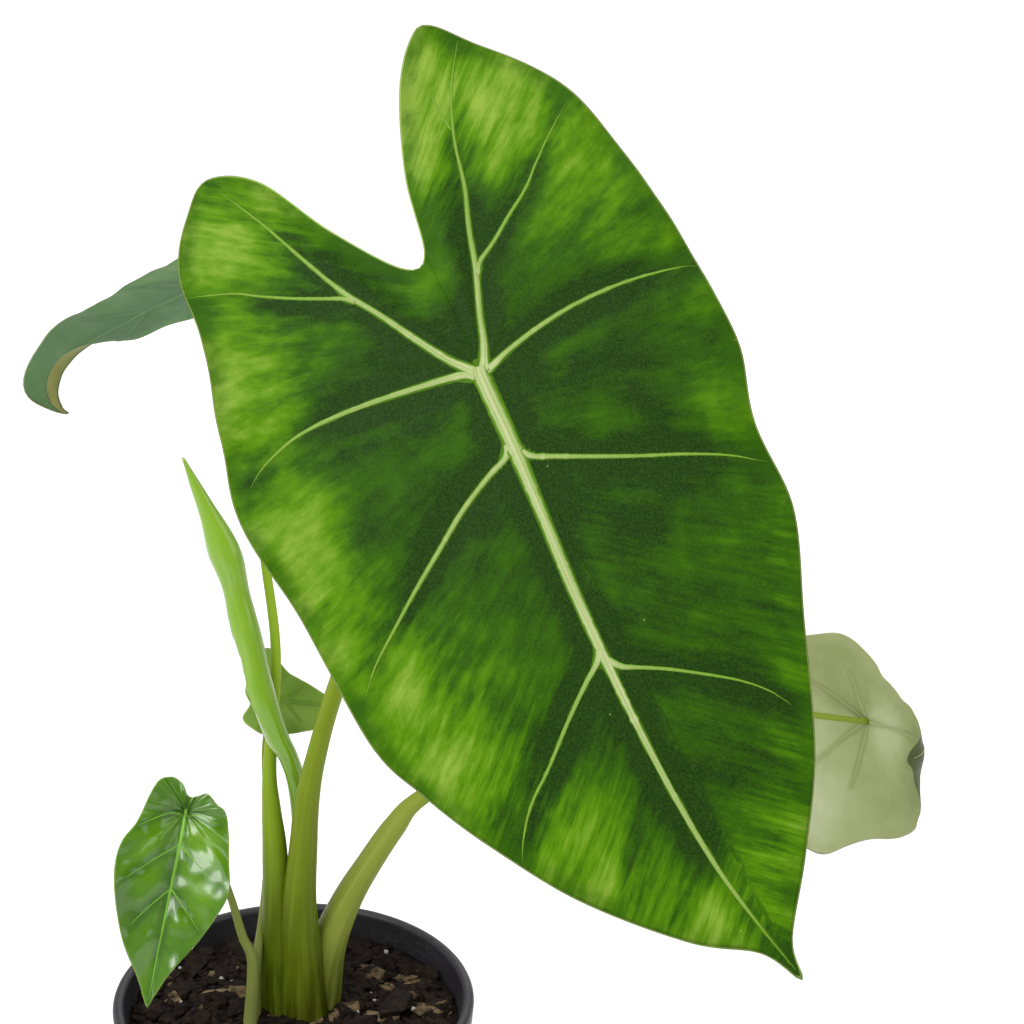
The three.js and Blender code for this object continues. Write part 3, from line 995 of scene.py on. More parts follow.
    def build_vein(self, number: int, vein: Vein) -> bpy.types.Object:
        """Makes one vein: a low ridge on the upper face and a rib on the underside.

        Args:
            number: the vein's number, for its name.
            vein: the vein.

        Returns:
            The vein's object.
        """
        reach = self.reach_of(vein)
        middles = vein.stations(np.linspace(0, reach, 60))[:, :2]
        length = np.linalg.norm(np.diff(middles, axis=0), axis=1).sum()
        rings = max(10, int(length / self.vein_step))
        shares = np.clip((np.arange(rings + 1) - 1) / (rings - 2), 0, 1)
        stations = vein.stations(shares * reach)
        tangent = np.gradient(vein.stations(np.linspace(0, reach, rings + 1))[:, :2], axis=0)
        tangent /= np.linalg.norm(tangent, axis=1)[:, None]
        along = np.column_stack([shares * length, np.zeros(rings + 1)])
        barbs = np.maximum(rough(along, 1.4, 2, number * 1.9), 0) ** 2
        ragged = 1 + 0.1 * rough(along, 3.0, 2, number * 3.7) + 0.5 * barbs
        widths = np.maximum(stations[:, 2], 0.25) * ragged * (1 - 0.7 * smooth_step(0.85, 1, shares))
        kept: dict[str, Array] = {}

        def shape(ring: Array, angle: Array) -> Array:
            """Places the vein's points."""
            at = ring.astype(int)
            full = np.where((at == 0) | (at == rings), 0.0, 1.0)
            half = widths[at] / 2 * full
            aside = np.column_stack([-tangent[at, 1], tangent[at, 0]])
            flat = stations[at, :2] + aside * (half * np.cos(angle))[:, None]
            up = np.sin(angle)
            body = self.thickness / 2 * np.sign(np.round(up, 6)) * 0.9 * full
            rise = np.where(up > 0, self.vein_rise, self.rib_drop) * widths[at] * up * full
            margin = distance_to_line(flat, self.edge())
            kept["crest"] = np.abs(up)
            kept["thick"] = widths[at]
            own = np.full(len(angle), float(number))
            kept["flow"] = np.column_stack([np.cos(angle) * widths[at], shares[at] * length, own])
            thin = smooth_step(0, 3, margin)
            lift = (body + rise) * (0.3 + 0.7 * thin)
            return self.form.lay(flat, lift + self.relief(flat, margin, self.vein_distance(flat)))

        skin = stretched_sphere(f"{self.name}_vein_{number}", 12, rings, shape)
        for key, values in kept.items():
            skin.mark(key, values)
        return skin.obj

    def build(self) -> None:
        """Makes the blade and its veins and ties them to the plant."""
        blade = self.build_blade()
        settle(blade, self.slot, self.name)
        veins = join([self.build_vein(number, vein) for number, vein in enumerate(self.veins)])
        veins.name = f"{self.name}_veins"
        veins.data.name = veins.name
        veins.data.materials.append(self.vein_finish.build())
        settle(veins, self.slot)


FRONT_FORM = LeafForm(
    attach=(78, -130, 329), heading=(0.47, -0.507, -0.722), face=(-0.131, -0.85, 0.511),
    length=217, bend=14, back=10, fold=-3, cup=-1.5,
    outline=(
        (0, 100), (-3.5, 94), (-12, 88), (-23.5, 75.5), (-31.5, 62.5), (-37, 51.5), (-40.5, 41.5),
        (-41.5, 20.5), (-43.5, 1.5), (-40.5, -11.5), (-36.5, -27.5), (-35.5, -38), (-30.5, -46.5),
        (-25, -51), (-17.5, -45.5), (-11, -32), (-4, -21), (0, -21), (3, -34), (8.5, -47.5), (14, -55),
        (17.5, -56), (22.5, -50), (32, -35), (35.5, -12.5), (36, 3.5), (35.5, 14), (32, 25), (31, 39),
        (24.5, 54.5), (17, 72), (9, 84), (1.5, 94),
    ),
)
LEFT_FORM = LeafForm(
    attach=(-36, 98, 304), heading=(-0.82, -0.48, -0.27), face=(-0.32, -0.2, 0.93),
    length=104, bend=8, back=8, curl=130, curl_power=6, fold=2, tip_fold=60,
    outline=(
        (0, 100), (-5, 95), (-13, 89), (-15, 76), (-27, 53), (-36, 30), (-37, 5), (-33, -15), (-24, -32),
        (-15, -38), (-8, -30), (0, -16), (8, -30), (15, -38), (24, -32), (31, -15), (33, 5), (29, 28),
        (24, 50), (13, 70), (7, 85), (3, 95),
    ),
)
RIGHT_FORM = LeafForm(
    attach=(243.5, 38, 130.5), heading=(0.75, -0.64, 0.1), face=(0.64, 0.76, 0.03),
    length=52.5, bend=30, back=10, curl=95, curl_power=3, fold=-4,
    outline=(
        (0, 100), (-12, 88), (-22, 54), (-42, 22), (-64, 2), (-75, -22), (-66, -60), (-56, -92),
        (-36, -98), (-14, -76), (4, -50), (26, -84), (60, -104), (98, -100), (124, -64), (127, -40),
        (113, -16), (104, 2), (92, 36), (72, 62), (40, 82), (12, 94),
    ),
)
REAR_FORM = LeafForm(
    attach=(-12, 33, 134.5), heading=(1, 0, -0.02), face=(0.05, -0.7, 0.71),
    length=25, bend=16, back=10, fold=6,
    outline=(
        (-3, 100), (-43, 81), (-59, 34), (-63, -9), (-47, -38), (-31, -48), (-8, -38), (17, -48),
        (66, -40), (89, -26), (92, -9), (54, 22), (22, 86),
    ),
)
YOUNG_FORM = LeafForm(
    attach=(-43, -11, 104), heading=(-0.11, -0.58, -0.8), face=(0.19, -0.8, 0.56),
    length=80, bend=11, back=20, fold=18, cup=-2,
    outline=(
        (-1, 100), (-4, 96), (-10, 85), (-20, 70), (-27.5, 52.5), (-32, 35), (-31, 21), (-25, 10),
        (-21, -4), (-17.5, -12.5), (-11, -16), (-5, -14), (1, -7.5), (9, -10), (16, -5), (22.5, 1),
        (27.5, 22.5), (30, 37.5), (26, 50), (19, 64), (7.5, 81), (1.5, 94),
    ),
)

FRONT_LEAF = Leaf(
    "front_leaf", "velvet_blade", FRONT_FORM,
    veins=(
        Vein((
            (-1, -2.5, 5.5), (-1.8, 3, 6.2), (-2.8, 25, 5.6), (-4.8, 50, 4.3), (-7, 75, 4.2),
            (-8.3, 100, 3.8),
            (-9, 125, 2.7), (-8.8, 150, 2.3), (-7.3, 175, 1.8), (-3.8, 197, 1.2), (-0.4, 213, 0.7),
        )),
        Vein((
            (-3, 0, 4.6), (-8, -3, 3.2), (-25, -7, 2.3), (-40, -10, 2), (-55, -12, 1.7), (-67, -12, 1.3),
            (-79, -9, 0.8), (-86, -5, 0.4),
        )),
        Vein((
            (-3, 24, 4.6), (-7, 28.5, 2.8), (-14, 31, 2.2), (-27, 37, 2), (-40, 45, 1.8), (-53, 53, 1.5),
            (-65, 61, 1.2), (-75, 68, 0.8), (-83, 76, 0.4),
        )),
        Vein((
            (-8, 97, 4), (-11.5, 100.5, 2.4), (-17.5, 104.5, 1.8), (-28, 112.5, 1.5), (-40, 122.5, 1.2),
            (-50, 130, 1), (-57, 138, 0.7), (-63, 148, 0.3),
        )),
        Vein((
            (0, 0, 4.4), (4, -1, 2.8), (10, -3, 2.1), (22, -5.5, 1.8), (35, -7, 1.6), (48, -7, 1.5),
            (60, -5.8, 1.1), (73, -3, 0.6), (79, 0, 0.3),
        )),
        Vein((
            (-2.5, 28, 4.2), (1, 32, 2.6), (7.5, 35.5, 2), (20, 42, 1.7), (32, 48, 1.4), (45, 54, 1.2),
            (57, 60.5, 0.8), (67, 68, 0.3),
        )),
        Vein((
            (-8, 101, 3.6), (-4.5, 105, 2.2), (-1, 107, 1.6), (7.5, 112, 1.3), (17.5, 119, 1.1),
            (26.5, 126, 0.8), (33, 133, 0.5), (37, 140, 0.3),
        )),
        Vein((
            (-2, -0.5, 5), (-5, -4.5, 3.6), (-9, -10, 2.9), (-15, -21, 2.6), (-22, -35, 2.3),
            (-28, -45.5, 2.3), (-32, -54.5, 1.7), (-37.5, -69, 1.3), (-43, -84, 0.9), (-52, -105, 0.4),
        )),
        Vein((
            (-27, -43, 2.6), (-30, -46, 1.9), (-36, -49.5, 1.4), (-45, -55, 1.2), (-55, -62, 1),
            (-63, -68, 0.7), (-79, -76, 0.3),
        )),
        Vein((
            (0, -0.5, 4.8), (2, -4.5, 3.4), (4.5, -10, 2.6), (7.5, -19, 2.3), (13, -33, 2.2),
            (17.5, -47.5, 1.8), (22.5, -61, 1.5), (26, -75, 1.2), (29, -84, 1), (35, -97.5, 0.8),
            (44, -112, 0.6),
        )),
        Vein((
            (12.5, -31, 2.6), (15.5, -35, 1.8), (22.5, -39, 1.5), (31, -45, 1.3), (40, -51, 1.1),
            (47.5, -58, 0.8), (55, -64.5, 0.6), (66, -73, 0.3),
        )),
        Vein(((27.5, -82, 1), (27, -90, 0.6), (27, -98, 0.3))),
    ),
    patches=(
        Patch(-84, 25, 22, 40, 0.42), Patch(-80, 88, 18, 36, 0.5), Patch(-56, 112, 36, 30, 0.3),
        Patch(-46, 158, 26, 24, 0.42), Patch(-8, 188, 28, 16, 0.36), Patch(26, 168, 20, 28, 0.24),
        Patch(60, 95, 20, 44, 0.12), Patch(72, 35, 18, 50, 0.08), Patch(-72, -48, 30, 40, 0.52),
        Patch(-50, -90, 30, 28, 0.5), Patch(16, -98, 18, 30, 0.55), Patch(46, -90, 30, 28, 0.58),
        Patch(62, -45, 26, 34, 0.36), Patch(-5, -38, 10, 10, 0.3), Patch(-62, 66, 24, 20, 0.24),
    ),
    # The front leaf is painted brighter near its edge, as painted light shining through and glancing off it.
    upper=VELVET_TOP, under=VELVET_UNDER, vein_finish=CREAM_VEIN, sides=400, rings=160, painted_edge_light=0.16,
)
LEFT_LEAF = Leaf(
    "left_leaf", "velvet_blade", LEFT_FORM,
    veins=(
        Vein(((0, -2, 1.8), (0, 12, 1.8), (0, 60, 1.2), (0, 100, 0.5))),
        *mirrored(((0.3, 0, 1), (8, -2, 0.8), (20, -4, 0.6), (32, -5, 0.3))),
        *mirrored(((0.3, 12, 1), (8, 17, 0.8), (19, 24, 0.6), (31, 34, 0.3))),
        *mirrored(((0.3, 40, 0.9), (6, 46, 0.7), (14, 54, 0.5), (20, 62, 0.3))),
        *mirrored(((0.3, -1, 1.2), (4, -8, 1), (9, -18, 0.7), (14, -30, 0.3))),
    ),
    patches=(Patch(-34, 10, 14, 50, 0.4), Patch(34, 10, 14, 50, 0.4), Patch(0, 108, 14, 16, 0.6)),
    upper=REAR_TOP, under=OLIVE_UNDER, vein_finish=LEAF_VEIN, wave=0.45, quilt=0.3, dimples=0.9,
)
RIGHT_LEAF = Leaf(
    "right_leaf", "velvet_blade", RIGHT_FORM,
    veins=(
        Vein(((0, -2, 1.4), (0, 10, 1.2), (0, 30, 0.8), (0, 49, 0.4))),
        Vein(((0, 0, 0.7), (-8, -3, 0.5), (-15, -5, 0.4), (-22, -7, 0.3))),
        Vein(((0, 0, 0.8), (10, -2, 0.6), (20, -4, 0.4), (32, -8, 0.3))),
        Vein(((-0.5, -1, 0.7), (-6, -10, 0.5), (-11, -18, 0.4), (-15, -28, 0.3))),
        Vein(((0.5, -1, 0.8), (8, -10, 0.6), (16, -18, 0.4), (26, -28, 0.3))),
    ),
    patches=(Patch(0, 10, 16, 10, 0.7), Patch(48, -30, 30, 20, 0.9), Patch(6, -30, 16, 10, 0.4)),
    upper=OLIVE_TOP, under=VELVET_UNDER, vein_finish=PALE_VEIN, wave=0.3, dimples=0.9, quilt=0.2,
    rib_drop=0.25,
)
REAR_LEAF = Leaf(
    "rear_leaf", "velvet_blade", REAR_FORM,
    veins=(
        Vein(((0, -1, 0.9), (0, 8, 0.8), (0, 23, 0.3))),
        *mirrored(((0.2, 0, 0.7), (4, -1, 0.5), (11, -2, 0.3))),
        *mirrored(((0.2, 6, 0.7), (4, 9, 0.5), (9, 13, 0.3))),
    ),
    patches=(Patch(8, -6, 6, 6, 0.7), Patch(-8, 12, 8, 10, 0.3)),
    upper=SOFT_TOP, under=VELVET_UNDER, vein_finish=SOFT_VEIN, sides=160, rings=60,
    wave=0.4, waves=9, quilt=0.4,
)
YOUNG_LEAF = Leaf(
    "young_leaf", "glossy_blade", YOUNG_FORM,
    veins=(
        Vein(((0, -1, 1.6), (0, 14, 1.5), (-0.5, 40, 1.1), (-1, 78, 0.4))),
        Vein(((-0.3, 2, 0.8), (-7, 2, 0.5), (-20, 10, 0.3))),
        Vein(((0.3, 2, 0.8), (7, 1, 0.5), (15, 4, 0.3))),
        Vein(((-0.3, 14, 0.8), (-8, 20, 0.5), (-21, 31, 0.3))),
        Vein(((0.3, 14, 0.8), (8, 20, 0.5), (19, 29, 0.3))),
        Vein(((-0.5, 32, 0.7), (-8, 40, 0.5), (-15, 49, 0.3))),
        Vein(((0, 32, 0.7), (7, 39, 0.5), (15, 47, 0.3))),
    ),
    patches=(
        Patch(-14, 22, 14, 24, 0.35), Patch(8, 10, 12, 14, 0.5), Patch(14, 36, 9, 16, 0.4),
        Patch(-3, 62, 8, 22, 0.4),
    ),
    upper=GLOSSY_TOP, under=VELVET_UNDER, vein_finish=FRESH_VEIN,
    sides=200, rings=90, wave=0.9, waves=11, wave_reach=9, quilt=0.8, quilt_reach=4,
    dimples=2.6, dimple_size=17,
)
LEAVES = (FRONT_LEAF, LEFT_LEAF, RIGHT_LEAF, REAR_LEAF, YOUNG_LEAF)


# ---------------------------------------------------------------- stems


def carried_frames(centres: Array) -> tuple[Array, Array]:
    """Carries two side directions along a line without twisting them.

    Args:
        centres: the line's points.

    Returns:
        The two directions at each point.
    """
    tangents = np.gradient(centres, axis=0)
    tangents /= np.linalg.norm(tangents, axis=1)[:, None]
    first = unit(np.cross(tangents[0], (0.31, 0.95, 0.02)))
    rights = []
    for tangent in tangents:
        first = unit(first - tangent * (first @ tangent))
        rights.append(first)
    rights = np.array(rights)
    return rights, np.cross(tangents, rights)


@dataclass
class Stem:
    """A stalk: rows of (x, y, height over the mix, radius), and the leaf that it carries."""

    name: str
    slot: str
    rows: tuple[Row, ...]
    finish: StalkFinish
    leaf: LeafForm | None = None
    tip_radius: float = 2.0
    sides: int = 32
    step: float = 2.5
    flute: float = 0.03

    def stations(self) -> Array:
        """Gives the rows at their real height, ending in the leaf if there is one."""
        rows = np.array(self.rows)
        rows[:, 2] += SOIL_TOP
        if self.leaf:
            end = self.leaf.stalk_point - self.leaf.axes[2] * BLADE_THICKNESS * 0.2
            rows = np.vstack([rows, [*end, self.tip_radius]])
        return rows

    def section(self, angle: Array, share: Array) -> Array:
        """Gives the radius at an angle as a share of the stem's own."""
        return 1 + self.flute * np.cos(3 * angle + 5 * share)

    def build(self) -> None:
        """Makes the stalk and ties it to the plant."""
        rows = self.stations()
        length = np.linalg.norm(np.diff(rows[:, :3], axis=0), axis=1).sum()
        rings = int(length / self.step) + 4
        shares = np.clip((np.arange(rings + 1) - 1) / (rings - 2), 0, 1)
        stations = even_spline(rows, shares)
        even = even_spline(rows, np.linspace(0, 1, rings + 1))
        rights, ups = carried_frames(even[:, :3])
        if self.leaf:
            side, heading, _ = self.leaf.axes
            for back in range(MEETING_RINGS):
                share = (1 - back / MEETING_RINGS) ** 2
                at = rings - back
                flat_right = unit(rights[at] @ side * side + rights[at] @ heading * heading)
                flat_up = unit(ups[at] @ side * side + ups[at] @ heading * heading)
                rights[at] = unit(rights[at] * (1 - share) + flat_right * share)
                ups[at] = unit(ups[at] * (1 - share) + flat_up * share)
                stations[at, 3] *= 1 + 0.25 * share
        kept: dict[str, Array] = {}

        def shape(ring: Array, angle: Array) -> Array:
            """Places the stem's points."""
            at = ring.astype(int)
            full = np.where((at == 0) | (at == rings), 0.0, 1.0)
            radius = stations[at, 3] * full * self.section(angle, shares[at])
            kept["flow"] = np.column_stack([np.cos(angle), np.sin(angle), shares[at] * length])
            kept["height"] = np.clip((stations[at, 2] - SOIL_TOP) / CROWN_HEIGHT, 0, 1)
            out = rights[at] * np.cos(angle)[:, None] + ups[at] * np.sin(angle)[:, None]
            return stations[at, :3] + out * radius[:, None]

        skin = stretched_sphere(self.name, self.sides, rings, shape)
        for key, values in kept.items():
            skin.mark(key, values)
        skin.obj.data.materials.append(self.finish.build())
        settle(skin.obj, self.slot, self.name)


@dataclass
class FurledLeaf(Stem):
    """The new leaf, still rolled: a spindle whose outer edge winds round it as a lifted, wavy lip."""

    sides: int = 56
    step: float = 1.6
    lip: float = 0.24
    winding: float = 2.6

    def section(self, angle: Array, share: Array) -> Array:
        """Gives the radius at an angle as a share of the spindle's own."""
        at = (angle / (2 * np.pi) + self.winding * share / (2 * np.pi) + 0.62) % 1
        lip = self.lip * np.exp(-at / 0.16) * (1 + 0.5 * np.sin(share * 34))
        rise = smooth_step(0.0, 0.2, share) * (1 - smooth_step(0.93, 1.0, share))
        return 1 + lip * rise + 0.05 * np.sin(2 * angle + 9 * share)


STEMS = (
    Stem(
        "front_petiole", "stalk",
        (
            (4, 2, -12, 13), (3, 2, 22, 10), (2, 1, 54, 7.5), (4, 0, 82, 6), (6, -2, 106, 5.2),
            (10, -5, 127, 4.2),
            (18, -14, 159, 3.7), (38, -52, 227, 3.4), (66, -103, 300, 3.1),
        ),
        STALK, FRONT_FORM, 3.0,
    ),
    Stem(
        "left_petiole", "stalk",
        (
            (-6, 5, -12, 10), (-8, 4.5, 22, 7.5), (-8, 4, 54, 6), (-8.5, 4, 80, 5.2), (-10, 7, 97, 4),
            (-11, 11, 114, 2.9), (-9.5, 19, 144, 2.4), (-10, 27, 168, 2.1), (-17, 43, 207, 1.9),
            (-28, 74, 268, 1.8),
        ),
        GREEN_STALK, LEFT_FORM, 1.7,
    ),
    Stem(
        "right_petiole", "stalk",
        (
            (8, 8, -12, 11), (11, 9, 17, 9), (15, 10, 35, 7.6), (22, 13, 52, 6.4), (30, 16, 66, 5.6),
            (41, 22, 82, 5),
            (52, 28, 93, 3.6), (86, 34, 113, 2.8), (146, 38, 130, 2.2), (198, 37, 134.5, 1.6),
        ),
        PALE_STALK, RIGHT_FORM, 1.2,
    ),
    FurledLeaf(
        "furled_leaf", "glossy_blade",
        (
            (3, 12, 72, 3.4), (1, 10, 104, 3.8), (-2.5, 8.5, 120, 4), (-7.5, 9, 130, 5),
            (-14, 12, 149, 5.6),
            (-19, 16, 170, 5.2), (-24, 20, 188, 4.8), (-29, 23, 206, 5.6), (-38, 27, 225, 3.2),
            (-47, 30, 244, 0.6),
        ),
        ROLLED,
    ),
    Stem(
        "young_petiole", "stalk",
        (
            (-18.5, -10, -12, 4), (-18, -9, 4, 3.2), (-17, -9, 22, 2.6), (-17.3, -9, 35, 2.2),
            (-21, -9, 45, 1.9),
            (-26, -8, 64, 1.6), (-34, -6, 86, 1.4),
        ),
        THIN_STALK, YOUNG_FORM, 1.3,
    ),
    Stem(
        "rear_petiole", "stalk",
        (
            (-16.5, -5, -12, 2.6), (-16.5, -4, 20, 2.2), (-15.5, -1, 34, 1.9), (-14.5, 6, 43, 1.8),
            (-14, 13, 52, 1.7),
            (-13.5, 20, 68, 1.6), (-14, 24, 92, 1.5), (-15, 29, 115, 1.3),
        ),
        THIN_STALK, REAR_FORM, 1.2,
    ),
)


# ---------------------------------------------------------------- pot, mix and what lies in it


@dataclass
class NurseryPot:
    """A thin moulded pot with a rolled rim and round drain holes."""

    height: float = 130.0
    rim_radius: float = 77.5
    base_radius: float = 55.0
    wall: float = 1.8
    floor: float = 2.4
    lip_width: float = 5.0
    lip_depth: float = 10.0
    steps: int = 160
    drain_count: int = 8
    drain_radius: float = 4.5
    drain_inset: float = 11.0

    def inner_radius(self, height: float) -> float:
        """Gives the inner wall's radius at a height."""
        share = (height - self.floor) / (self.height - self.lip_width * 0.3 - self.floor)
        foot = self.base_radius - self.wall
        return foot + share * (self.rim_radius - self.lip_width - self.base_radius + self.wall)

    def outer_radius(self, height: float) -> float:
        """Gives the outer wall's radius at a height, below the rim's band."""
        top = self.rim_radius - self.lip_width + self.wall
        return self.base_radius + (top - self.base_radius) * height / self.height

    def profile(self) -> list[tuple[float, float]]:
        """Gives the wall's outline as (radius, height), from the middle of the underside to the floor."""
        bead = self.lip_width * 0.5
        foot = self.height - self.lip_depth
        points = [(0, 0.9), (self.base_radius - 7, 0.9)]
        points += [(self.base_radius - 5.6, 0), (self.base_radius - 1, 0)]
        points += [(self.base_radius - 0.3, 0.3), (self.base_radius, 1)]
        points += [(self.outer_radius(8), 8), (self.outer_radius(8) + 0.5, 8.6), (self.outer_radius(60), 60)]
        points += [(self.outer_radius(foot), foot), (self.rim_radius - 1.2, foot + 0.3)]
        points += [(self.rim_radius - 0.5, foot + 1), (self.rim_radius - 0.3, foot + 4)]
        middle = (self.rim_radius - bead, self.height - bead)
        for index in range(13):
            angle = math.pi * index / 12
            points.append((middle[0] + bead * math.cos(angle), middle[1] + bead * math.sin(angle)))
        inside = self.inner_radius(self.height - 8)
        points += [(inside, self.height - 8), (self.inner_radius(60), 60)]
        points += [(self.inner_radius(self.floor + 3), self.floor + 3)]
        return points + [(self.inner_radius(self.floor) - 2, self.floor), (0, self.floor)]

    def build(self) -> None:
        """Makes the pot, cuts its drain holes and ties it to the body."""
        shell = bmesh.new()
        corners = [shell.verts.new((radius * MM, 0, height * MM)) for radius, height in self.profile()]
        for start, end in zip(corners[:-1], corners[1:]):
            shell.edges.new((start, end))
        bmesh.ops.spin(
            shell, geom=shell.verts[:] + shell.edges[:], cent=(0, 0, 0), axis=(0, 0, 1), dvec=(0, 0, 0),
            angle=2 * math.pi, steps=self.steps, use_merge=True, use_duplicate=False,
        )
        bmesh.ops.remove_doubles(shell, verts=shell.verts, dist=1e-6)
        bmesh.ops.recalc_face_normals(shell, faces=shell.faces)
        pot = to_object("nursery_pot_shell", shell)
        self.cut_drains(pot)
        pot.data.materials.append(PLASTIC.build())
        settle(pot, "pot_plastic", "nursery_pot")

    def cut_drains(self, pot: bpy.types.Object) -> None:
        """Cuts the drain holes through the floor."""
        punches = bmesh.new()
        for index in range(self.drain_count):
            angle = 2 * math.pi * index / self.drain_count
            away = (self.base_radius - self.drain_inset) * MM
            at = Matrix.Translation((away * math.cos(angle), away * math.sin(angle), self.floor / 2 * MM))
            radius = self.drain_radius * MM
            bmesh.ops.create_cone(
                punches, cap_ends=True, segments=28, radius1=radius, radius2=radius,
                depth=3 * self.floor * MM, matrix=at,
            )
        cutter = to_object("drain_punches", punches)
        cut = pot.modifiers.new("drains", "BOOLEAN")
        cut.object = cutter
        cut.operation = "DIFFERENCE"
        cut.solver = "EXACT"
        bpy.context.view_layer.update()
        finished = bpy.data.meshes.new_from_object(pot.evaluated_get(bpy.context.evaluated_depsgraph_get()))
        pot.modifiers.clear()
        pot.data = finished
        bpy.data.objects.remove(cutter)


class CrumbKind(Enum):
    """What the loose crumbs of the mix are, by the number of their material."""

    PEAT = 0
    BARK = 1
    PERLITE = 2


@dataclass
class PottingMix:
    """Dark bark and peat: a lumpy surface with loose crumbs on it."""

    pot: NurseryPot
    clearance: float = 0.3
    sides: int = 260
    top_rings: int = 90
    wall_rings: int = 6
    crumbs: int = 1500
    seed: int = 11

    @property
    def radius(self) -> float:
        """Gives the surface's radius."""
        return self.pot.inner_radius(SOIL_TOP) - self.clearance

    def surface(self, places: Array) -> Array:
        """Gives the height of the lumpy surface under flat places."""
        distance = np.hypot(places[:, 0], places[:, 1])
        lumps = 1.5 * rough(places, 9.0, 4, 3.1) + 0.8 * np.abs(rough(places, 3.0, 2, 8.3))
        edge = 1 - smooth_step(self.radius - 5, self.radius, distance)
        return soil_height(distance, self.radius) + lumps * (0.25 + 0.75 * edge) - 0.3

    def build(self) -> None:
        """Makes the mix and its crumbs and ties them to the body."""
        rings = self.top_rings + 2 * self.wall_rings
        foot = self.pot.floor + self.clearance

        def shape(ring: Array, angle: Array) -> Array:
            """Places the mix's points, from the middle of its foot to the middle of its top."""
            under = np.clip(ring / self.wall_rings, 0, 1)
            wall = np.clip((ring - self.wall_rings) / self.wall_rings, 0, 1)
            top = np.clip((ring - 2 * self.wall_rings) / self.top_rings, 0, 1)
            foot_radius = self.pot.inner_radius(foot) - self.clearance
            radius = np.where(wall > 0, foot_radius + (self.radius - foot_radius) * wall, foot_radius * under)
            radius = radius * (1 - top)
            flat = np.column_stack([radius * np.cos(angle), radius * np.sin(angle)])
            height = np.where(wall >= 1, self.surface(flat), foot + (SOIL_TOP - 0.5 - foot) * wall)
            return np.column_stack([flat, height])

        ground = stretched_sphere("mix_body", self.sides, rings, shape).obj
        ground.data.materials.append(MIX.build())
        settle(ground, "mix", "potting_mix")
        self.build_crumbs()

    def build_crumbs(self) -> None:
        """Scatters the loose crumbs over the surface."""
        draw = np.random.default_rng(self.seed)
        heap = bmesh.new()
        kinds: list[int] = []
        away = (self.radius - 3) * np.sqrt(draw.random(self.crumbs))
        angles = 2 * np.pi * draw.random(self.crumbs)
        flats = np.column_stack([away * np.cos(angles), away * np.sin(angles)])
        heights = self.surface(flats)
        for flat, height in zip(flats, heights):
            kind = draw.choice(list(CrumbKind), p=CRUMB_SHARES)
            if kind is CrumbKind.PERLITE:
                size = draw.uniform(0.5, 1.5)
                slim = (1, 1, 1)
            else:
                size = draw.gamma(3.0, 0.55) + 0.5
                slim = (draw.uniform(1, 2.2), 1, draw.uniform(0.35, 0.8))
            turn = Matrix.Rotation(draw.uniform(0, 2 * math.pi), 4, "Z")
            tilt = Matrix.Rotation(draw.normal(0, 0.35), 4, "X")
            at = Matrix.Translation((flat[0] * MM, flat[1] * MM, (height + size * slim[2] * 0.4) * MM))
            scale = Matrix.Diagonal((*(size * share * MM for share in slim), 1))
            made = bmesh.ops.create_icosphere(heap, subdivisions=1, radius=1, matrix=at @ turn @ tilt @ scale)
            for vertex in made["verts"]:
                vertex.co += Vector(draw.normal(0, 0.16 * size * MM, 3))
            kinds += [kind.value] * FACES_PER_CRUMB
        crumbs = to_object("mix_crumbs", heap, smooth=False)
        for finish in (PEAT, BARK, PERLITE):
            crumbs.data.materials.append(finish.build())
        crumbs.data.polygons.foreach_set("material_index", kinds)
        settle(crumbs, "mix")


@dataclass
class LoosePieces:
    """Larger chips or grains, half sunk: (angle, place as a share of the mix's radius, turn) and size."""

    kind: CrumbKind
    node: str
    slot: str
    size: Row
    spots: tuple[Row, ...]
    finish: EarthFinish
    mix: PottingMix
    cuts: int = 4
    lumps: float = 0.14

    def build(self) -> None:
        """Makes each piece and ties it to the body."""
        material = self.finish.build()
        for number, (angle, share, turn) in enumerate(self.spots, 1):
            distance = share * (self.mix.radius + self.mix.clearance - max(self.size) / 2)
            across = distance * math.cos(math.radians(angle))
            ahead = distance * math.sin(math.radians(angle))
            height = soil_height(np.array([distance]), self.mix.radius)[0]
            lump = bmesh.new()
            bmesh.ops.create_cube(lump, size=1)
            bmesh.ops.bevel(
                lump, geom=lump.edges[:], offset=0.2, offset_type="OFFSET", affect="EDGES", segments=2,
                profile=0.5, material=-1,
            )
            bmesh.ops.subdivide_edges(lump, edges=lump.edges[:], cuts=self.cuts, use_grid_fill=True)
            if self.kind is CrumbKind.PERLITE:
                for vertex in lump.verts:
                    vertex.co = vertex.co.lerp(vertex.co.normalized() * 0.5, 0.8)
            points = np.array([vertex.co[:] for vertex in lump.verts])
            bumps = rough(points * 10, 3.2, 3, number * 5.3) * self.lumps
            grooves = rough(points * (2, 14, 14), 3.0, 2, number * 2.1) * self.lumps * 0.6
            for vertex, bump in zip(lump.verts, bumps + grooves):
                vertex.co += vertex.co.normalized() * bump * 0.6
            scale = Matrix.Diagonal((*(side * 0.94 * MM for side in self.size), 1))
            turned = Matrix.Rotation(math.radians(turn), 4, "Z")
            at = Matrix.Translation((across * MM, ahead * MM, height * MM))
            bmesh.ops.transform(lump, matrix=at @ turned @ scale, verts=lump.verts)
            bmesh.ops.recalc_face_normals(lump, faces=lump.faces)
            name = f"{self.node}_{number}"
            piece = to_object(f"{name}_lump", lump)
            piece.data.materials.append(material)
            settle(piece, self.slot, name)


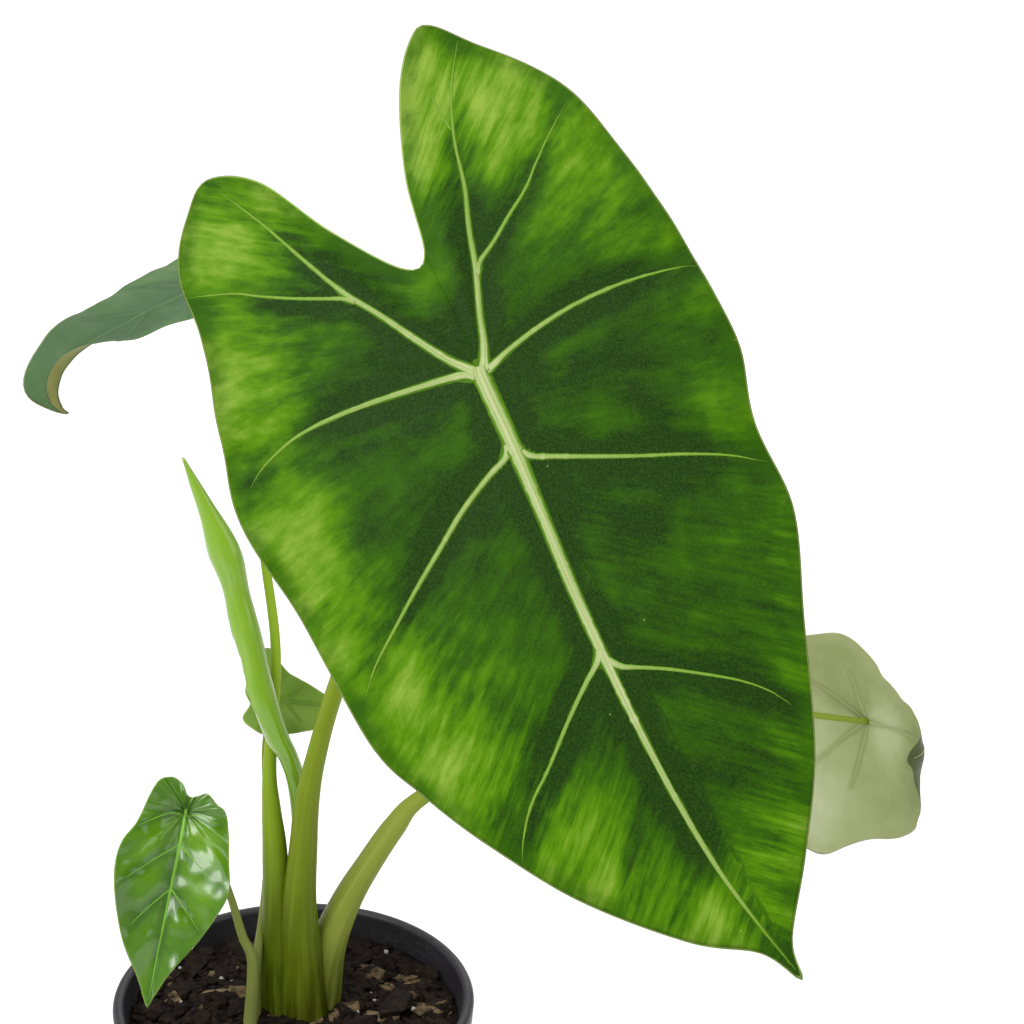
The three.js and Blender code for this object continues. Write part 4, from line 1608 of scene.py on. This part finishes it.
@dataclass
class SurfaceRoot(Stem):
    """A root that runs over the mix and dives back into it: (x, y, height over the mix, radius)."""

    sides: int = 20
    step: float = 0.8
    mix_radius: float = 72.0

    def stations(self) -> Array:
        """Gives the rows at their real height over the mix."""
        rows = np.array(self.rows)
        rows[:, 2] += soil_height(np.hypot(rows[:, 0], rows[:, 1]), self.mix_radius)
        return rows

    def section(self, angle: Array, share: Array) -> Array:
        """Gives the radius at an angle as a share of the root's own, with rings and knots."""
        rings = 0.05 * np.sin(share * 140 + np.sin(angle))
        return 0.94 + rings + 0.1 * np.sin(2 * angle + 11 * share) * np.sin(share * 23)


@dataclass
class Corm:
    """An upright egg-shaped rootstock with the ringed scars of old stalks."""

    name: str
    centre: Row
    radius: float
    height: float
    sides: int = 72
    rings: int = 60

    def build(self) -> None:
        """Makes the corm and ties it to the body."""

        def shape(ring: Array, angle: Array) -> Array:
            """Places the corm's points."""
            rise = (ring / self.rings - 0.5) * np.pi
            fullness = np.cos(rise) ** 0.8
            scars = 1 - 0.05 * (0.5 + 0.5 * np.cos(rise * 16 + 0.4 * np.sin(2 * angle))) ** 3
            ball = np.column_stack([np.cos(angle) * fullness, np.sin(angle) * fullness, np.sin(rise)])
            scars *= 1 + 0.03 * rough(ball * 10, 4.0, 3, 2.0) - 0.02
            size = np.array([self.radius, self.radius, self.height / 2])
            return ball * size * scars[:, None] + np.array(self.centre) + (0, 0, SOIL_TOP)

        skin = stretched_sphere(f"{self.name}_body", self.sides, self.rings, shape)
        skin.obj.data.materials.append(CORM.build())
        settle(skin.obj, "root", self.name)


CORMS = (
    Corm("corm", centre=(1, 4, -22), radius=20, height=38),
    Corm("pup_corm", centre=(-17.5, -9.5, -20), radius=7, height=24, sides=40, rings=30),
)
ROOT_SKIN = StalkFinish(
    "root_skin", paint(120, 98, 74), paint(164, 142, 120), paint(178, 158, 138), paint(196, 178, 160), 0.6
)
ROOT_ROWS = {
    "surface_root_1": ((-22, 12, -4, 1.6), (-30, 15, 0.4, 1.6), (-40, 14, 0.6, 1.4), (-49, 18, -4, 1.1)),
    "surface_root_2": ((-7, -18, -4, 1.5), (-16, -22, 0.4, 1.5), (-28, -20, 0.4, 1.3), (-37, -25, -4, 1.1)),
    "surface_root_3": ((20, -13, -4, 1.7), (29, -20, 0.5, 1.6), (37, -30, 0.4, 1.3), (41, -40, -4, 1.1)),
}
BARK_SIZE = (10, 4.6, 3.2)
BARK_SPOTS = (
    (52, 0.74, 35), (12, 0.62, 100), (338, 0.8, 20), (300, 0.62, 140), (250, 0.78, 75), (205, 0.72, 10),
    (168, 0.84, 120), (120, 0.66, 55), (88, 0.8, 160), (30, 0.88, 10),
)
PERLITE_SIZE = (3, 2.6, 2.2)
PERLITE_SPOTS = (
    (352, 0.9, 0), (320, 0.46, 40), (276, 0.86, 80), (228, 0.5, 20), (182, 0.9, 60), (142, 0.56, 10),
    (104, 0.88, 50), (66, 0.5, 30),
)


# ---------------------------------------------------------------- studio


@dataclass(frozen=True)
class Lamp:
    """A soft square lamp: its place, the point it looks at, its side and its power."""

    name: str
    place: Row
    target: Row
    side: float
    power: float

    def build(self) -> None:
        """Hangs the lamp."""
        data = bpy.data.lights.new(self.name, "AREA")
        data.size = self.side
        data.energy = self.power
        lamp = bpy.data.objects.new(self.name, data)
        lamp.location = self.place
        lamp.rotation_euler = (Vector(self.target) - Vector(self.place)).to_track_quat("-Z", "Y").to_euler()
        bpy.context.scene.collection.objects.link(lamp)


@dataclass
class Studio:
    """A pale floor, soft lamps, a wide light from the sky, an even pale surround and the camera."""

    floor_side: float = 160.0
    surround: float = 0.5
    sky_power: float = 2.1
    sky_width: float = 75.0
    sky_lean: tuple[float, float] = (22.0, -18.0)
    lens: float = 74.0
    camera_place: Row = (0.088, -0.786, 0.633)
    pitch: float = 19.6
    roll: float = 1.6
    lamps: tuple[Lamp, ...] = (
        Lamp("key", (-0.9, -1.1, 1.6), (0.05, -0.05, 0.35), 0.9, 17.0),
        Lamp("side", (1.6, -0.4, 1.3), (0.05, 0, 0.3), 1.2, 6.0),
        Lamp("rear", (0.2, 1.8, 1.6), (0.05, 0, 0.3), 1.6, 9.0),
    )

    def build(self) -> None:
        """Sets up the floor, the lamps, the sky, the surround and the camera."""
        self.build_floor()
        for lamp in self.lamps:
            lamp.build()
        self.build_sky()
        world = bpy.data.worlds.new("surround")
        world.use_nodes = True
        background = world.node_tree.nodes["Background"]
        background.inputs["Color"].default_value = (1, 1, 1, 1)
        background.inputs["Strength"].default_value = self.surround
        bpy.context.scene.world = world
        bpy.context.scene.view_settings.view_transform = "Standard"
        self.build_camera()

    def build_sky(self) -> None:
        """Hangs the wide soft light from above."""
        data = bpy.data.lights.new("sky", "SUN")
        data.energy = self.sky_power
        data.angle = math.radians(self.sky_width)
        sky = bpy.data.objects.new("sky", data)
        forward, aside = (math.radians(angle) for angle in self.sky_lean)
        sky.rotation_euler = (forward, aside, 0)
        bpy.context.scene.collection.objects.link(sky)

    def build_floor(self) -> None:
        """Lays the floor."""
        sheet = bmesh.new()
        bmesh.ops.create_grid(sheet, x_segments=2, y_segments=2, size=self.floor_side / 2)
        floor = to_object("studio_floor", sheet)
        nodes = NodeSheet("floor_paint")
        cloud = nodes.grain(nodes.place((1.5, 1.5, 1.5)), 1.0, 2.0)
        tone = nodes.mix(cloud, (0.93, 0.93, 0.93, 1), (0.95, 0.95, 0.95, 1))
        floor.data.materials.append(nodes.finish(Base_Color=tone, Roughness=0.9, Specular_IOR_Level=0.0))

    def build_camera(self) -> None:
        """Places the camera."""
        pitch, roll = math.radians(self.pitch), math.radians(self.roll)
        ahead = Vector((0, math.cos(pitch), -math.sin(pitch)))
        level = Vector((1, 0, 0))
        upright = Vector((0, math.sin(pitch), math.cos(pitch)))
        right = level * math.cos(roll) + upright * math.sin(roll)
        up = upright * math.cos(roll) - level * math.sin(roll)
        data = bpy.data.cameras.new("camera")
        data.lens = self.lens
        data.clip_end = 100
        camera = bpy.data.objects.new("camera", data)
        turn = Matrix((right, up, -ahead)).transposed().to_4x4()
        camera.matrix_world = Matrix.Translation(self.camera_place) @ turn
        bpy.context.scene.collection.objects.link(camera)
        bpy.context.scene.camera = camera


# ---------------------------------------------------------------- assembly


def main() -> None:
    """Builds the plant, its pot and the studio."""
    logging.basicConfig(level=logging.INFO, format="%(name)s %(message)s")
    pot = NurseryPot()
    pot.build()
    mix = PottingMix(pot)
    mix.build()
    for corm in CORMS:
        corm.build()
    for name, rows in ROOT_ROWS.items():
        SurfaceRoot(name, "root", rows, ROOT_SKIN).build()
    LoosePieces(CrumbKind.BARK, "bark_chip", "bark", BARK_SIZE, BARK_SPOTS, BARK, mix).build()
    LoosePieces(
        CrumbKind.PERLITE, "perlite_grain", "perlite", PERLITE_SIZE, PERLITE_SPOTS, PERLITE, mix, cuts=2
    ).build()
    for stem in STEMS:
        stem.build()
    for leaf in LEAVES:
        leaf.build()
    Studio().build()


if __name__ == "__main__":
    main()
